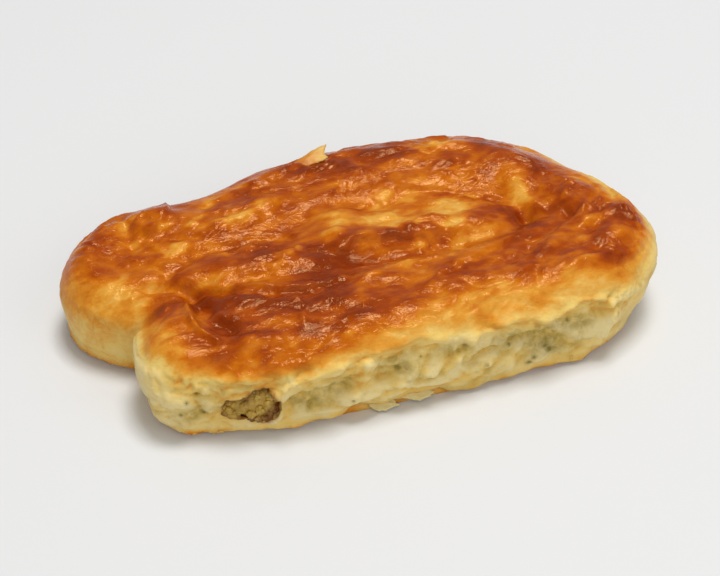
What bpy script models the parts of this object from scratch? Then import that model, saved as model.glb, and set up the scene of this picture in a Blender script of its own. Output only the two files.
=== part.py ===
"""A baked borek roll: one rope of filled pastry coiled into a flattened spiral, with its filling.

Blender 4.5 script, in metres, +Z up. +X runs along the coil's length, towards the end where the rope turns
from the front strand to the back one. The origin is at the middle of the underside.
"""

import math
from collections import namedtuple

import bmesh
import bpy
import numpy as np
from mathutils import Vector, noise

MM = 0.001

# Every x and y below is counted from the middle of the front half; this point becomes the origin.
MIDDLE = Vector((2.47, 7.99, 0))

# Stations along the rope, from the loose outer end at the front left, round the right end, back along the
# rear, round the left lobe and in to the tip of the inner strand: x, y, half width and height in mm, then
# the power of the top's curve (2 is round, more is squarer) and the share of its width lost at the foot.
ROPE = (
    (-50, -14, 16.0, 27.0, 2.7, 0.12),
    (-36, -16, 18.0, 28.0, 2.7, 0.07),
    (-14, -18, 17.5, 28.0, 2.6, 0.06),
    (10, -19, 17.0, 28.0, 2.6, 0.06),
    (34, -18, 17.0, 28.5, 2.5, 0.08),
    (56, -16, 17.8, 29.5, 2.4, 0.15),
    (67.5, -9, 17.2, 30.0, 2.2, 0.42),
    (67, 3.5, 14.8, 30.0, 2.0, 0.36),
    (60.5, 15, 15.6, 29.5, 2.0, 0.20),
    (50.5, 27.5, 16.8, 30.0, 2.1, 0.12),
    (32, 33, 17.5, 30.0, 2.4, 0.10),
    (10, 35.5, 17.0, 29.5, 2.6, 0.10),
    (-14, 32.5, 16.5, 28.5, 2.6, 0.10),
    (-36, 27.5, 15.5, 27.5, 2.6, 0.10),
    (-54, 29.5, 15.5, 26.5, 2.5, 0.12),
    (-64, 24, 15.0, 25.0, 2.4, 0.12),
    (-64, 17, 14.5, 24.5, 2.4, 0.12),
    (-54, 11, 14.0, 25.0, 2.5, 0.10),
    (-38, 9, 14.0, 26.0, 2.6, 0.10),
    (-18, 9, 15.5, 27.0, 2.6, 0.10),
    (4, 9, 16.0, 27.5, 2.6, 0.10),
    (24, 8, 15.5, 27.5, 2.5, 0.10),
    (36, 6, 14.0, 27.0, 2.4, 0.10),
)
STEPS_PER_STATION = 5

# Dough that has risen and bridges the hollows between neighbouring strands, as the same kind of stations.
BRIDGES = (
    (
        (-46, 0, 6.0, 24.0, 2.2, 0.10),
        (-30, -4, 7.0, 25.5, 2.2, 0.10),
        (-6, -6, 8.0, 26.0, 2.2, 0.10),
        (16, -6, 8.0, 25.5, 2.2, 0.10),
        (36, -7, 6.0, 24.5, 2.2, 0.10),
    ),
    (
        (-50, 20, 6.0, 23.0, 2.2, 0.10),
        (-28, 19, 8.0, 25.0, 2.2, 0.10),
        (4, 22, 9.0, 26.0, 2.2, 0.10),
        (28, 20, 9.0, 25.0, 2.2, 0.10),
        (44, 12, 7.0, 23.0, 2.2, 0.10),
    ),
)

# The cross-section of a strand: two half superellipses that meet at its widest height.
SECTION_POINTS = 32
WIDEST_AT = 0.625
FOOT_POWER = 4.5
FOOT_DEPTH = 4.0

END_RINGS = 7
END_POWER = 2.4
END_REACH = 0.985

# The pastry round the filling, and the clear space between the two.
WALL = 4.0
FLOOR = 3.5
LID = 4.5
GAP = 0.45

# Folds and hollows of the top: the path that each follows, its half width and its height in mm.
TOP_FOLDS = (
    (((-45, 2), (-45.5, -4), (-46, -8)), 2.8, -2.6),
    (((-45.5, -6), (-44.5, -12), (-41, -17)), 2.6, -1.6),
    (((-49, -3), (-50, -8), (-50.6, -14), (-49.5, -20), (-46, -23.5)), 1.0, 1.0),
    (((-44, -18), (-30, -22), (-14, -23)), 4.5, -0.9),
    (((-58, 7), (-52, 5), (-46, 1), (-38, -3)), 1.6, -1.4),
    (((-40, -5), (-28, -9), (-18, -12), (-8, -12)), 2.2, -1.3),
    (((24, -19), (36, -18), (44, -16)), 1.8, -0.7),
    (((43, -16), (48, -14), (53, -9.5), (60, -5)), 2.4, -1.8),
    (((-2, 0), (8, -1), (18, -2), (27, -3)), 3.5, -1.4),
    (((30, 2), (40, 3), (46, 4)), 5.0, 1.6),
    (((48, -5), (52, 2), (51, 8)), 2.6, -2.4),
    (((51, 9), (56, 11), (60, 17)), 5.5, -2.8),
    (((-52, 9), (-46, 13), (-38, 16.5), (-27, 15.5), (-16, 13)), 1.8, -1.3),
    (((-36, 4), (-26, 3), (-16, 1)), 5.0, 1.2),
    (((-74, 22), (-70, 30), (-60, 36)), 3.0, 0.8),
    (((-58, 36), (-58.2, 29), (-57.8, 24)), 1.8, -1.0),
    (((66, -20), (74, -14), (78, -6)), 3.5, 0.9),
    (((-48.5, -26.5), (-42.6, -26.6), (-36.6, -27)), 0.8, 0.5),
    (((60, -14), (67, -10), (72, -2)), 3.0, -0.8),
    (((-20, 38), (-4, 42), (12, 44)), 2.5, 0.8),
    (((20, 40), (34, 38), (44, 34)), 2.5, 0.7),
)

# Edges where one layer lies over the next: the path, with the high side on its left, how far the high
# side takes to fade and its height in mm.
LAYER_EDGES = (
    (((-45, -24), (-49.5, -21), (-50.6, -14), (-50, -8), (-48.5, 0)), 3.0, 1.5),
    (((-43, 1.6), (-38.6, -1.2), (-29.3, -5), (-23.1, -8.5), (-17.2, -9.5), (-11.9, -10.2), (-8, -8.3)), 3.0, 1.1),
    (((-10, 1), (-4, 4.4), (0.2, 5), (4.1, 3.7), (12.6, 2.9), (19.5, 1.3), (21, -1.5)), 5.0, 1.6),
    (((12, -14.6), (20.7, -14.8), (26.3, -13.7), (36.8, -8.6), (42, -5.5), (47, 1.5)), 4.0, 1.0),
    (((68, -3), (62.3, -3.7), (56.5, -6.6), (50.5, -10.1), (43, -12.5), (34, -17)), 5.0, 1.5),
    (((-54, 26), (-50.5, 27.6), (-47.8, 30.2), (-46.5, 36), (-45.5, 43)), 6.0, 1.5),
    (((17, 24), (24, 22.5), (32, 20), (41, 15.5), (47, 10.5), (51, 7)), 6.0, 0.7),
    (((-40, 20), (-35, 21.2), (-28, 20.8), (-20, 22.5)), 3.0, 0.7),
    (((-36, -27.5), (-28, -30), (-18, -30.5)), 2.0, -0.4),
)

# Folds and hollows of the front side: the path as x and z, its half width and its height in mm.
SIDE_FOLDS = (
    (((-47, 18), (-40, 19.5)), 1.6, 0.8),
    (((-33, 17), (-27, 18.6), (-18, 18.8)), 1.3, 1.5),
    (((-30, 9), (-24, 10.5), (-17, 11.5)), 4.0, -2.5),
    (((-35, 16), (-33.4, 11), (-33.8, 5)), 1.5, 1.2),
    (((-47, 16), (-50.5, 11), (-49, 5)), 1.8, 0.7),
    (((-12, 17), (-12, 9), (-6, 5)), 2.6, 0.9),
    (((-6, 14.5), (-1, 16), (4, 17)), 3.2, -2.3),
    (((-8, 20.5), (-1, 21.5), (6, 22)), 1.3, 1.2),
    (((-2, 9.5), (6, 12), (10, 14)), 1.8, 0.9),
    (((10, 17), (17, 18.5)), 2.6, -1.8),
    (((12, 11), (19.5, 14), (22, 19)), 1.7, 1.0),
    (((24, 14.5), (34, 15.5), (44, 16), (53, 15)), 3.8, -2.8),
    (((29, 21), (38, 20.6), (48, 20.4), (57, 20)), 1.4, 1.5),
    (((37, 10), (42, 7.5), (47, 9)), 2.6, -1.0),
    (((26, 8.5), (32, 7.5)), 2.0, 0.8),
    (((58, 20), (59, 14), (58, 7)), 1.8, 1.2),
    (((-60, 14), (-55, 9)), 4.5, 0.6),
)
SIDE_WAVER = 4.0

# Wrinkles that run with the rope: length, width and height of each size in mm.
WRINKLES = ((26.0, 9.0, 1.3), (13.0, 5.5, 0.9))
LUMP_SIZE = 9.0
LUMP_HEIGHT = 1.0

# The ledge of thin layers that sticks out just above the table.
LEDGE_HEIGHT = 2.0
LEDGE_DEPTH = 0.9
DRAWN_IN = 0.8

# The torn hole low in the front side, as two round tears, and the filling that swells into it.
TEARS = (((-38.2, -34.0, 10.8), (4.9, 5.6, 6.0)), ((-44.2, -33.6, 10.2), (4.6, 5.0, 3.6)))
TEAR_RAGGED = 0.22
HOLE = (-41.0, -34.0, 11.2)
SWELL = 1.4
SWELL_REACH = 9.0

# Loose skins: corners of the upper face in order, then the thickness, in mm.
FLAKES = (
    (
        (
            (-8.6, -31.4, 2.2), (-7.3, -32.6, 1.5), (-6.5, -34.5, 1.0), (-4.8, -35.5, 0.9), (-1.0, -35.1, 1.0),
            (-1.9, -34.7, 1.4), (-0.9, -34.0, 1.6), (-2.7, -34.1, 2.0), (-2.3, -33.2, 2.4), (-1.1, -32.0, 3.2),
            (-5.4, -31.6, 3.0),
        ),
        0.5,
    ),
    (
        (
            (-3.0, -31.6, 3.2), (-2.4, -33.3, 2.4), (0.5, -33.6, 2.3), (3.4, -33.7, 2.4), (4.7, -35.1, 1.6),
            (8.2, -35.0, 1.2), (8.0, -34.2, 1.5), (9.6, -34.0, 1.6), (8.6, -32.8, 2.4), (7.0, -31.4, 3.4),
        ),
        0.5,
    ),
    (
        (
            (-8.5, 41.5, 27.0), (-5.9, 40.6, 27.8), (-2.4, 40.4, 28.6), (2.1, 40.6, 29.4), (4.8, 41.4, 29.6),
            (3.5, 42.5, 30.2), (3.8, 43.8, 30.8), (4.9, 45.2, 31.5), (2.0, 46.0, 30.2), (-0.8, 45.6, 29.4),
            (-4.6, 44.4, 28.2), (-7.8, 43.0, 27.2),
        ),
        0.6,
    ),
)

PASTRY_VOXEL = 1.2
PASTRY_SMOOTH = 18
PASTRY_TRIANGLES = 7800
FILLING_VOXEL = 1.8
FILLING_SMOOTH = 8
FILLING_TRIANGLES = 1700
FILLING_LUMP = 1.0

SHARP_ANGLE = math.radians(50)

CRUST_COLOUR = (0.56, 0.24, 0.045, 1.0)
FILLING_COLOUR = (0.30, 0.25, 0.10, 1.0)

Ring = namedtuple("Ring", "centre direction half_width bottom top dome taper shrink")


def clear_scene():
    for obj in list(bpy.data.objects):
        bpy.data.objects.remove(obj, do_unlink=True)


def add_object(name, mesh):
    obj = bpy.data.objects.new(name, mesh)
    bpy.context.scene.collection.objects.link(obj)
    return obj


def apply_modifiers(obj):
    graph = bpy.context.evaluated_depsgraph_get()
    mesh = bpy.data.meshes.new_from_object(obj.evaluated_get(graph))
    obj.modifiers.clear()
    obj.data = mesh


def make_material(name, colour, roughness):
    material = bpy.data.materials.new(name)
    material.use_nodes = True
    shader = material.node_tree.nodes["Principled BSDF"]
    shader.inputs["Base Color"].default_value = colour
    shader.inputs["Roughness"].default_value = roughness
    shader.inputs["Metallic"].default_value = 0.0
    return material


def catmull_rom(values, i, t):
    """The value at share t between entries i and i + 1 of a list of equal-length tuples."""
    last = len(values) - 1
    a, b, c, d = (values[min(max(k, 0), last)] for k in (i - 1, i, i + 1, i + 2))
    return [
        0.5 * (2 * q + (r - p) * t + (2 * p - 5 * q + 4 * r - s) * t * t + (3 * q - p - 3 * r + s) * t**3)
        for p, q, r, s in zip(a, b, c, d)
    ]


def rings_along(stations, wall=0.0, floor=-FOOT_DEPTH, lid=0.0):
    """Cross-sections at even steps along stations, drawn in by a wall, a floor and a lid."""
    rows = [
        catmull_rom(stations, i, step / STEPS_PER_STATION)
        for i in range(len(stations) - 1)
        for step in range(STEPS_PER_STATION)
    ] + [list(stations[-1])]
    rings = []
    for k, (x, y, half_width, height, dome, taper) in enumerate(rows):
        before, after = rows[max(k - 1, 0)], rows[min(k + 1, len(rows) - 1)]
        direction = Vector((after[0] - before[0], after[1] - before[1], 0)).normalized()
        centre = Vector((x, y, 0))
        rings.append(Ring(centre, direction, half_width - wall, floor, height - lid, dome, taper, 1.0))
    return rounded_end(rings[0], -1)[::-1] + rings + rounded_end(rings[-1], 1)


def rounded_end(ring, sign):
    """Shrinking rings past one end of a strand."""
    made = []
    for k in range(1, END_RINGS + 1):
        out = math.sin(math.pi / 2 * k / END_RINGS) * END_REACH
        centre = ring.centre + ring.direction * (sign * out * ring.half_width)
        made.append(ring._replace(centre=centre, shrink=(1 - out**END_POWER) ** (1 / END_POWER)))
    return made


def signed_power(value, power):
    return math.copysign(abs(value) ** power, value)


def outline_of(ring):
    """The points of one cross-section, in mm."""
    widest = ring.bottom + WIDEST_AT * (ring.top - ring.bottom)
    across = Vector((ring.direction.y, -ring.direction.x, 0))
    points = []
    for k in range(SECTION_POINTS):
        angle = 2 * math.pi * k / SECTION_POINTS
        c, s = math.cos(angle), math.sin(angle)
        if s >= 0:
            side = ring.half_width * signed_power(c, 2 / ring.dome)
            up = (ring.top - widest) * s ** (2 / ring.dome)
        else:
            fall = abs(s) ** (2 / FOOT_POWER)
            side = ring.half_width * signed_power(c, 2 / FOOT_POWER) * (1 - ring.taper * fall)
            up = -(widest - ring.bottom) * fall
        points.append(ring.centre + across * (side * ring.shrink) + Vector((0, 0, widest + up * ring.shrink)))
    return points


def add_strand(bm, rings):
    """A closed tube through the rings."""
    loops = [[bm.verts.new((point - MIDDLE) * MM) for point in outline_of(ring)] for ring in rings]
    faces = [bm.faces.new(loops[0][::-1]), bm.faces.new(loops[-1])]
    for first, second in zip(loops, loops[1:]):
        for k in range(SECTION_POINTS):
            n = (k + 1) % SECTION_POINTS
            faces.append(bm.faces.new((first[k], first[n], second[n], second[k])))
    bmesh.ops.recalc_face_normals(bm, faces=faces)


def fuse(obj, voxel, rounds):
    """Makes what overlaps in a mesh one skin, and softens it."""
    remesh = obj.modifiers.new("fuse", "REMESH")
    remesh.mode = "VOXEL"
    remesh.voxel_size = voxel * MM
    smooth = obj.modifiers.new("soften", "SMOOTH")
    smooth.factor = 0.5
    smooth.iterations = rounds
    apply_modifiers(obj)


def decimate(obj, triangles):
    now = sum(len(p.vertices) - 2 for p in obj.data.polygons)
    thin = obj.modifiers.new("thin", "DECIMATE")
    thin.ratio = min(1.0, triangles / now)
    apply_modifiers(obj)


def coordinates(mesh):
    """The points of a mesh in mm, counted as the stations are, and its normals."""
    places = np.empty(len(mesh.vertices) * 3, np.float32)
    mesh.vertices.foreach_get("co", places)
    normals = np.empty(len(mesh.vertices) * 3, np.float32)
    mesh.vertex_normals.foreach_get("vector", normals)
    return places.reshape(-1, 3) / MM + np.array(MIDDLE), normals.reshape(-1, 3)


def move_points(mesh, places):
    mesh.vertices.foreach_set("co", ((places - np.array(MIDDLE)) * MM).astype(np.float32).ravel())
    mesh.update()


def smooth_share(value, low, high):
    share = np.clip((value - low) / (high - low), 0, 1)
    return share * share * (3 - 2 * share)


def distance_to_path(points, path):
    """How far each of the points, given as two columns, is from a line through the path's points."""
    nearest = np.full(len(points), np.inf)
    for a, b in zip(np.array(path[:-1], float), np.array(path[1:], float)):
        run = b - a
        share = np.clip(((points - a) @ run) / (run @ run), 0, 1)
        nearest = np.minimum(nearest, np.linalg.norm(points - a - share[:, None] * run, axis=1))
    return nearest


def folds(points, table):
    height = np.zeros(len(points))
    for path, half_width, rise in table:
        height += rise * np.exp(-((distance_to_path(points, path) / half_width) ** 2))
    return height


def wavered(points):
    """The points, given as two columns, moved a little by soft noise so that straight folds waver."""
    moved = [
        (noise.noise(Vector((u / 8, v / 8, 2.6))), noise.noise(Vector((u / 8, v / 8, 8.1)))) for u, v in points
    ]
    return points + SIDE_WAVER * np.array(moved)


def layer_edges(points, table):
    """Steps that drop sharply on the right of each path and fade slowly on its left."""
    height = np.zeros(len(points))
    for path, fade, rise in table:
        line = np.array(path, float)
        nearest = np.full(len(points), np.inf)
        side = np.zeros(len(points))
        run = np.zeros(len(points))
        for k in range(len(line) - 1):
            step = line[k + 1] - line[k]
            share = ((points - line[k]) @ step) / (step @ step)
            offset = points - line[k] - np.clip(share, 0, 1)[:, None] * step
            gap = np.linalg.norm(offset, axis=1)
            closer = gap < nearest
            nearest = np.where(closer, gap, nearest)
            turned = (step[0] * offset[:, 1] - step[1] * offset[:, 0]) / np.linalg.norm(step)
            side = np.where(closer, np.where(turned > 0, gap, -gap), side)
            run = np.where(closer, (k + np.clip(share, 0, 1)) / (len(line) - 1), run)
        ends = smooth_share(run, 0, 0.12) * (1 - smooth_share(run, 0.88, 1))
        high = np.exp(-np.maximum(side, 0) / fade)
        low = np.exp(-((np.minimum(side, 0) / 0.55) ** 2))
        height += rise * ends * np.where(side > 0, high, low)
    return height


def rope_coordinates(points):
    """How far along the rope each point lies, and how far to the side of its middle, in mm."""
    rings = rings_along(ROPE)
    centres = np.array([ring.centre[:2] for ring in rings])
    directions = np.array([ring.direction[:2] for ring in rings])
    runs = np.concatenate([[0], np.cumsum(np.linalg.norm(np.diff(centres, axis=0), axis=1))])
    nearest = np.argmin(((points[:, None, :2] - centres[None]) ** 2).sum(axis=2), axis=1)
    offset = points[:, :2] - centres[nearest]
    along = runs[nearest] + (offset * directions[nearest]).sum(axis=1)
    across = offset[:, 0] * directions[nearest, 1] - offset[:, 1] * directions[nearest, 0]
    return along, across


def wrinkles(points, along, across):
    height = np.zeros(len(points))
    for length, width, rise in WRINKLES:
        height += [
            rise * noise.noise(Vector((s / length, t / width, z / width)))
            for s, t, z in zip(along, across, points[:, 2])
        ]
    return height


def lumps(points, size, rise):
    return np.array([rise * noise.noise(Vector(point) / size) for point in points])


def foot_ledge(height, along):
    """An uneven ledge just above the table, drawn in below, at a height and a place along the rope."""
    uneven = np.array([noise.noise(Vector((s / 10, 1.3, 4.1))) for s in along])
    ledge = LEDGE_DEPTH * np.exp(-(((height - LEDGE_HEIGHT) / 1.3) ** 2)) * (1 + 1.1 * uneven)
    return ledge - DRAWN_IN * (1 - smooth_share(height, 0.2, 1.2))


def shape_surface(mesh):
    """Folds and wrinkles of the top, and the pushed in and swollen places of the sides."""
    places, normals = coordinates(mesh)
    along, across = rope_coordinates(places)
    top = smooth_share(normals[:, 2], 0.2, 0.75)
    side = 1 - smooth_share(np.abs(normals[:, 2]), 0.3, 0.8)
    front = side * smooth_share(-normals[:, 1], 0.2, 0.7)
    lift = folds(places[:, :2], TOP_FOLDS) + layer_edges(places[:, :2], LAYER_EDGES)
    places[:, 2] += top * (lift + wrinkles(places, along, across))
    outwards = front * folds(wavered(places[:, [0, 2]]), SIDE_FOLDS)
    outwards += side * (lumps(places, LUMP_SIZE, LUMP_HEIGHT) + foot_ledge(places[:, 2], along))
    places += normals * outwards[:, None]
    move_points(mesh, places)


def cut_underside(mesh):
    """Cuts the coil flat at z = 0."""
    bm = bmesh.new()
    bm.from_mesh(mesh)
    geom = bm.verts[:] + bm.edges[:] + bm.faces[:]
    cut = bmesh.ops.bisect_plane(
        bm, geom=geom, plane_co=(0, 0, 0), plane_no=(0, 0, 1), clear_inner=True, dist=1e-6
    )
    edges = [e for e in cut["geom_cut"] if isinstance(e, bmesh.types.BMEdge)]
    bmesh.ops.holes_fill(bm, edges=edges, sides=0)
    fill_pockets(bm)
    bmesh.ops.triangulate(bm, faces=[f for f in bm.faces if len(f.verts) > 4])
    bm.to_mesh(mesh)
    bm.free()


def fill_pockets(bm):
    """Drops every shell but the largest, so that a pocket shut in between two strands is solid."""
    unseen = set(bm.verts)
    shells = []
    while unseen:
        shell = []
        edge_of_shell = [unseen.pop()]
        while edge_of_shell:
            vert = edge_of_shell.pop()
            shell.append(vert)
            beside = {edge.other_vert(vert) for edge in vert.link_edges} & unseen
            unseen -= beside
            edge_of_shell += sorted(beside, key=lambda other: other.index)
        shells.append(shell)
    for shell in sorted(shells, key=len)[:-1]:
        bmesh.ops.delete(bm, geom=shell, context="VERTS")


def make_pastry():
    """The fused coil, solid, with its folds."""
    bm = bmesh.new()
    add_strand(bm, rings_along(ROPE))
    for bridge in BRIDGES:
        add_strand(bm, rings_along(bridge))
    mesh = bpy.data.meshes.new("pastry")
    bm.to_mesh(mesh)
    bm.free()
    pastry = add_object("pastry", mesh)
    fuse(pastry, PASTRY_VOXEL, PASTRY_SMOOTH)
    shape_surface(pastry.data)
    cut_underside(pastry.data)
    decimate(pastry, PASTRY_TRIANGLES)
    return pastry


def make_filling():
    """The filling as one rod that runs through the whole rope and swells into the torn hole."""
    bm = bmesh.new()
    add_strand(bm, rings_along(ROPE, WALL, FLOOR, LID))
    mesh = bpy.data.meshes.new("filling")
    bm.to_mesh(mesh)
    bm.free()
    filling = add_object("filling", mesh)
    fuse(filling, FILLING_VOXEL, FILLING_SMOOTH)
    places, normals = coordinates(filling.data)
    places += normals * lumps(places, LUMP_SIZE, FILLING_LUMP)[:, None]
    reach = np.linalg.norm(places - np.array(HOLE), axis=1) / SWELL_REACH
    places[:, 1] -= SWELL * np.exp(-(reach**2)) * (normals[:, 1] < 0)
    move_points(filling.data, places)
    decimate(filling, FILLING_TRIANGLES)
    return filling


def make_cavity(filling):
    """The space that the filling takes, a little larger than the filling."""
    mesh = filling.data.copy()
    places, normals = coordinates(mesh)
    move_points(mesh, places + normals * GAP)
    return add_object("cavity", mesh)


def make_tear(number, middle, half):
    """A ragged plug in the shape of one tear of the hole."""
    bm = bmesh.new()
    bmesh.ops.create_icosphere(bm, subdivisions=3, radius=1.0)
    for vert in bm.verts:
        ragged = 1 + TEAR_RAGGED * noise.noise(vert.co * 2.6 + Vector((number, 0, 0)))
        for axis in range(3):
            vert.co[axis] = (vert.co[axis] * ragged * half[axis] + middle[axis] - MIDDLE[axis]) * MM
    mesh = bpy.data.meshes.new(f"tear_{number}")
    bm.to_mesh(mesh)
    bm.free()
    return add_object(f"tear_{number}", mesh)


def make_flake(number, corners, thickness):
    """A thin skin whose lower face is its upper face set down by the thickness."""
    bm = bmesh.new()
    upper = [bm.verts.new((Vector(corner) - MIDDLE) * MM) for corner in corners]
    lower = [bm.verts.new(vert.co - Vector((0, 0, thickness * MM))) for vert in upper]
    faces = [bm.faces.new(upper), bm.faces.new(lower[::-1])]
    for k in range(len(upper)):
        n = (k + 1) % len(upper)
        faces.append(bm.faces.new((upper[k], upper[n], lower[n], lower[k])))
    bmesh.ops.triangulate(bm, faces=faces)
    bmesh.ops.recalc_face_normals(bm, faces=bm.faces)
    mesh = bpy.data.meshes.new(f"flake_{number}")
    bm.to_mesh(mesh)
    bm.free()
    return add_object(f"flake_{number}", mesh)


def combine(obj, operation, other):
    """Joins a helper to a solid, or cuts it away, and removes the helper."""
    step = obj.modifiers.new(other.name, "BOOLEAN")
    step.operation = operation
    step.object = other
    apply_modifiers(obj)
    bpy.data.objects.remove(other, do_unlink=True)


def build():
    clear_scene()
    pastry = make_pastry()
    filling = make_filling()
    combine(pastry, "DIFFERENCE", make_cavity(filling))
    for number, (middle, half) in enumerate(TEARS):
        combine(pastry, "DIFFERENCE", make_tear(number, middle, half))
    for number, (corners, thickness) in enumerate(FLAKES):
        combine(pastry, "UNION", make_flake(number, corners, thickness))
    for obj, colour, roughness in ((pastry, CRUST_COLOUR, 0.4), (filling, FILLING_COLOUR, 0.6)):
        obj.data.materials.clear()
        obj.data.materials.append(make_material(obj.name, colour, roughness))
        obj.data.shade_smooth()
        obj.data.set_sharp_from_angle(angle=SHARP_ANGLE)


build()
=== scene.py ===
"""Looks of a baked borek roll: browned crust, filling, loose skins and a plain studio stage."""

import math
import random
from collections import namedtuple

import bmesh
import bpy
import numpy as np
from bpy.props import FloatProperty, FloatVectorProperty, IntProperty, PointerProperty
from mathutils import Matrix, Vector, noise


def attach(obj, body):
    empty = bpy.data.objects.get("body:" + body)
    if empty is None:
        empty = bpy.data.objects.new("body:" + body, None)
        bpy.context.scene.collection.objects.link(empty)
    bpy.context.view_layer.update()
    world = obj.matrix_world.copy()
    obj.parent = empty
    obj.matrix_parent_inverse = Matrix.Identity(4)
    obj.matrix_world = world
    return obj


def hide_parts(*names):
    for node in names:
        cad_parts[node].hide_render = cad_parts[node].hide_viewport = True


bl_info = {
    "name": "Borek Roll",
    "version": (1, 0, 0),
    "blender": (4, 5, 0),
    "location": "3D View > Sidebar > Borek",
    "description": "Builds a baked borek roll round its fixed frame, piece by piece",
    "category": "Add Mesh",
}

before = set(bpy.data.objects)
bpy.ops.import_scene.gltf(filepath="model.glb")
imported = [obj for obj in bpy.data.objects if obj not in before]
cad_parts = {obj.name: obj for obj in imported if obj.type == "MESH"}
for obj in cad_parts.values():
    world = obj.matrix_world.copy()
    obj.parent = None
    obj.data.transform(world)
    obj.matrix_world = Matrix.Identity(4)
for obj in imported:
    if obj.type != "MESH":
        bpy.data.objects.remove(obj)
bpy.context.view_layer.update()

# Sizes are in mm and angles in degrees, unless a comment says otherwise, and this is one mm in metres.
MM = 0.001
# Every x and y below is counted from the middle of the front half, as in the solid's own construction, and
# the object's origin lies here in that counting.
MIDDLE = np.array((2.47, 7.99, 0.0))

# Stations along the rope: x, y, half width, height, the power of the top's curve and the share of its width
# lost at the foot.
ROPE = (
    (-50, -14, 16.0, 27.0, 2.7, 0.12),
    (-36, -16, 18.0, 28.0, 2.7, 0.07),
    (-14, -18, 17.5, 28.0, 2.6, 0.06),
    (10, -19, 17.0, 28.0, 2.6, 0.06),
    (34, -18, 17.0, 28.5, 2.5, 0.08),
    (56, -16, 17.8, 29.5, 2.4, 0.15),
    (67.5, -9, 17.2, 30.0, 2.2, 0.42),
    (67, 3.5, 14.8, 30.0, 2.0, 0.36),
    (60.5, 15, 15.6, 29.5, 2.0, 0.20),
    (50.5, 27.5, 16.8, 30.0, 2.1, 0.12),
    (32, 33, 17.5, 30.0, 2.4, 0.10),
    (10, 35.5, 17.0, 29.5, 2.6, 0.10),
    (-14, 32.5, 16.5, 28.5, 2.6, 0.10),
    (-36, 27.5, 15.5, 27.5, 2.6, 0.10),
    (-54, 29.5, 15.5, 26.5, 2.5, 0.12),
    (-64, 24, 15.0, 25.0, 2.4, 0.12),
    (-64, 17, 14.5, 24.5, 2.4, 0.12),
    (-54, 11, 14.0, 25.0, 2.5, 0.10),
    (-38, 9, 14.0, 26.0, 2.6, 0.10),
    (-18, 9, 15.5, 27.0, 2.6, 0.10),
    (4, 9, 16.0, 27.5, 2.6, 0.10),
    (24, 8, 15.5, 27.5, 2.5, 0.10),
    (36, 6, 14.0, 27.0, 2.4, 0.10),
)
STEPS_PER_STATION = 5
# Lower strands that fill the valleys between neighbouring strands, with the same kind of stations.
BRIDGES = (
    (
        (-46, 0, 6.0, 24.0, 2.2, 0.10),
        (-30, -4, 7.0, 25.5, 2.2, 0.10),
        (-6, -6, 8.0, 26.0, 2.2, 0.10),
        (16, -6, 8.0, 25.5, 2.2, 0.10),
        (36, -7, 6.0, 24.5, 2.2, 0.10),
    ),
    (
        (-50, 20, 6.0, 23.0, 2.2, 0.10),
        (-28, 19, 8.0, 25.0, 2.2, 0.10),
        (4, 22, 9.0, 26.0, 2.2, 0.10),
        (28, 20, 9.0, 25.0, 2.2, 0.10),
        (44, 12, 7.0, 23.0, 2.2, 0.10),
    ),
)

# The cross-section: its points, how high it is widest, as a share, the power of its lower curve and how far
# it reaches below the table, where it is cut off flat.
SECTION_POINTS = 32
WIDEST_AT = 0.625
FOOT_POWER = 4.5
FOOT_DEPTH = 4.0
# The rounded ends: the rings in each, the power of their curve and their reach, as a share of a half width.
END_RINGS = 7
END_POWER = 2.4
END_REACH = 0.985
# The pastry round the filling: its wall, floor and lid, and the gap left between the two.
WALL = 4.0
FLOOR = 3.5
LID = 4.5
GAP = 0.45

# Folds and hollows of the top: the path that each follows, its half width and its height.
TOP_FOLDS = (
    (((-47.5, 0), (-47.3, -4), (-46.5, -9)), 2.4, -2.4),
    (((-46.5, -9), (-46, -14), (-42, -19)), 2.4, -1.8),
    (((-50.4, -7), (-50.8, -10), (-50.8, -14), (-49.8, -18), (-46, -23)), 0.9, 1.5),
    (((-44, -18), (-30, -22), (-14, -23)), 4.5, -0.9),
    (((-58, 7), (-52, 5), (-46, 1), (-38, -3)), 1.6, -1.4),
    (((-40, -5), (-28, -9), (-18, -12), (-8, -12)), 2.2, -1.3),
    (((24, -19), (36, -18), (44, -16)), 1.8, -0.7),
    (((43, -15), (48, -12.5), (53, -8.5), (60, -4)), 2.0, -1.2),
    (((-2, 0), (8, -1), (18, -2), (27, -3)), 3.5, -1.4),
    (((30, 2), (40, 3), (46, 4)), 5.0, 1.6),
    (((48, -6), (51, 0), (52, 8)), 4.0, 1.2),
    (((51, 9), (56, 11), (60, 17)), 4.5, -0.9),
    (((-52, 9), (-46, 13), (-38, 16.5), (-27, 15.5), (-16, 13)), 1.8, -1.3),
    (((-36, 4), (-26, 3), (-16, 1)), 5.0, 1.2),
    (((-74, 22), (-70, 30), (-60, 36)), 3.0, 0.8),
    (((-58, 36), (-58.2, 29), (-57.8, 24)), 1.8, -1.0),
    (((66, -20), (74, -14), (78, -6)), 3.5, 0.9),
    (((-48.5, -26.5), (-42.6, -26.6), (-36.6, -27)), 0.8, 0.5),
    (((60, -14), (67, -10), (72, -2)), 3.0, -0.8),
    (((-20, 38), (-4, 42), (12, 44)), 2.5, 0.8),
    (((20, 40), (34, 38), (44, 34)), 2.5, 0.7),
)

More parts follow.
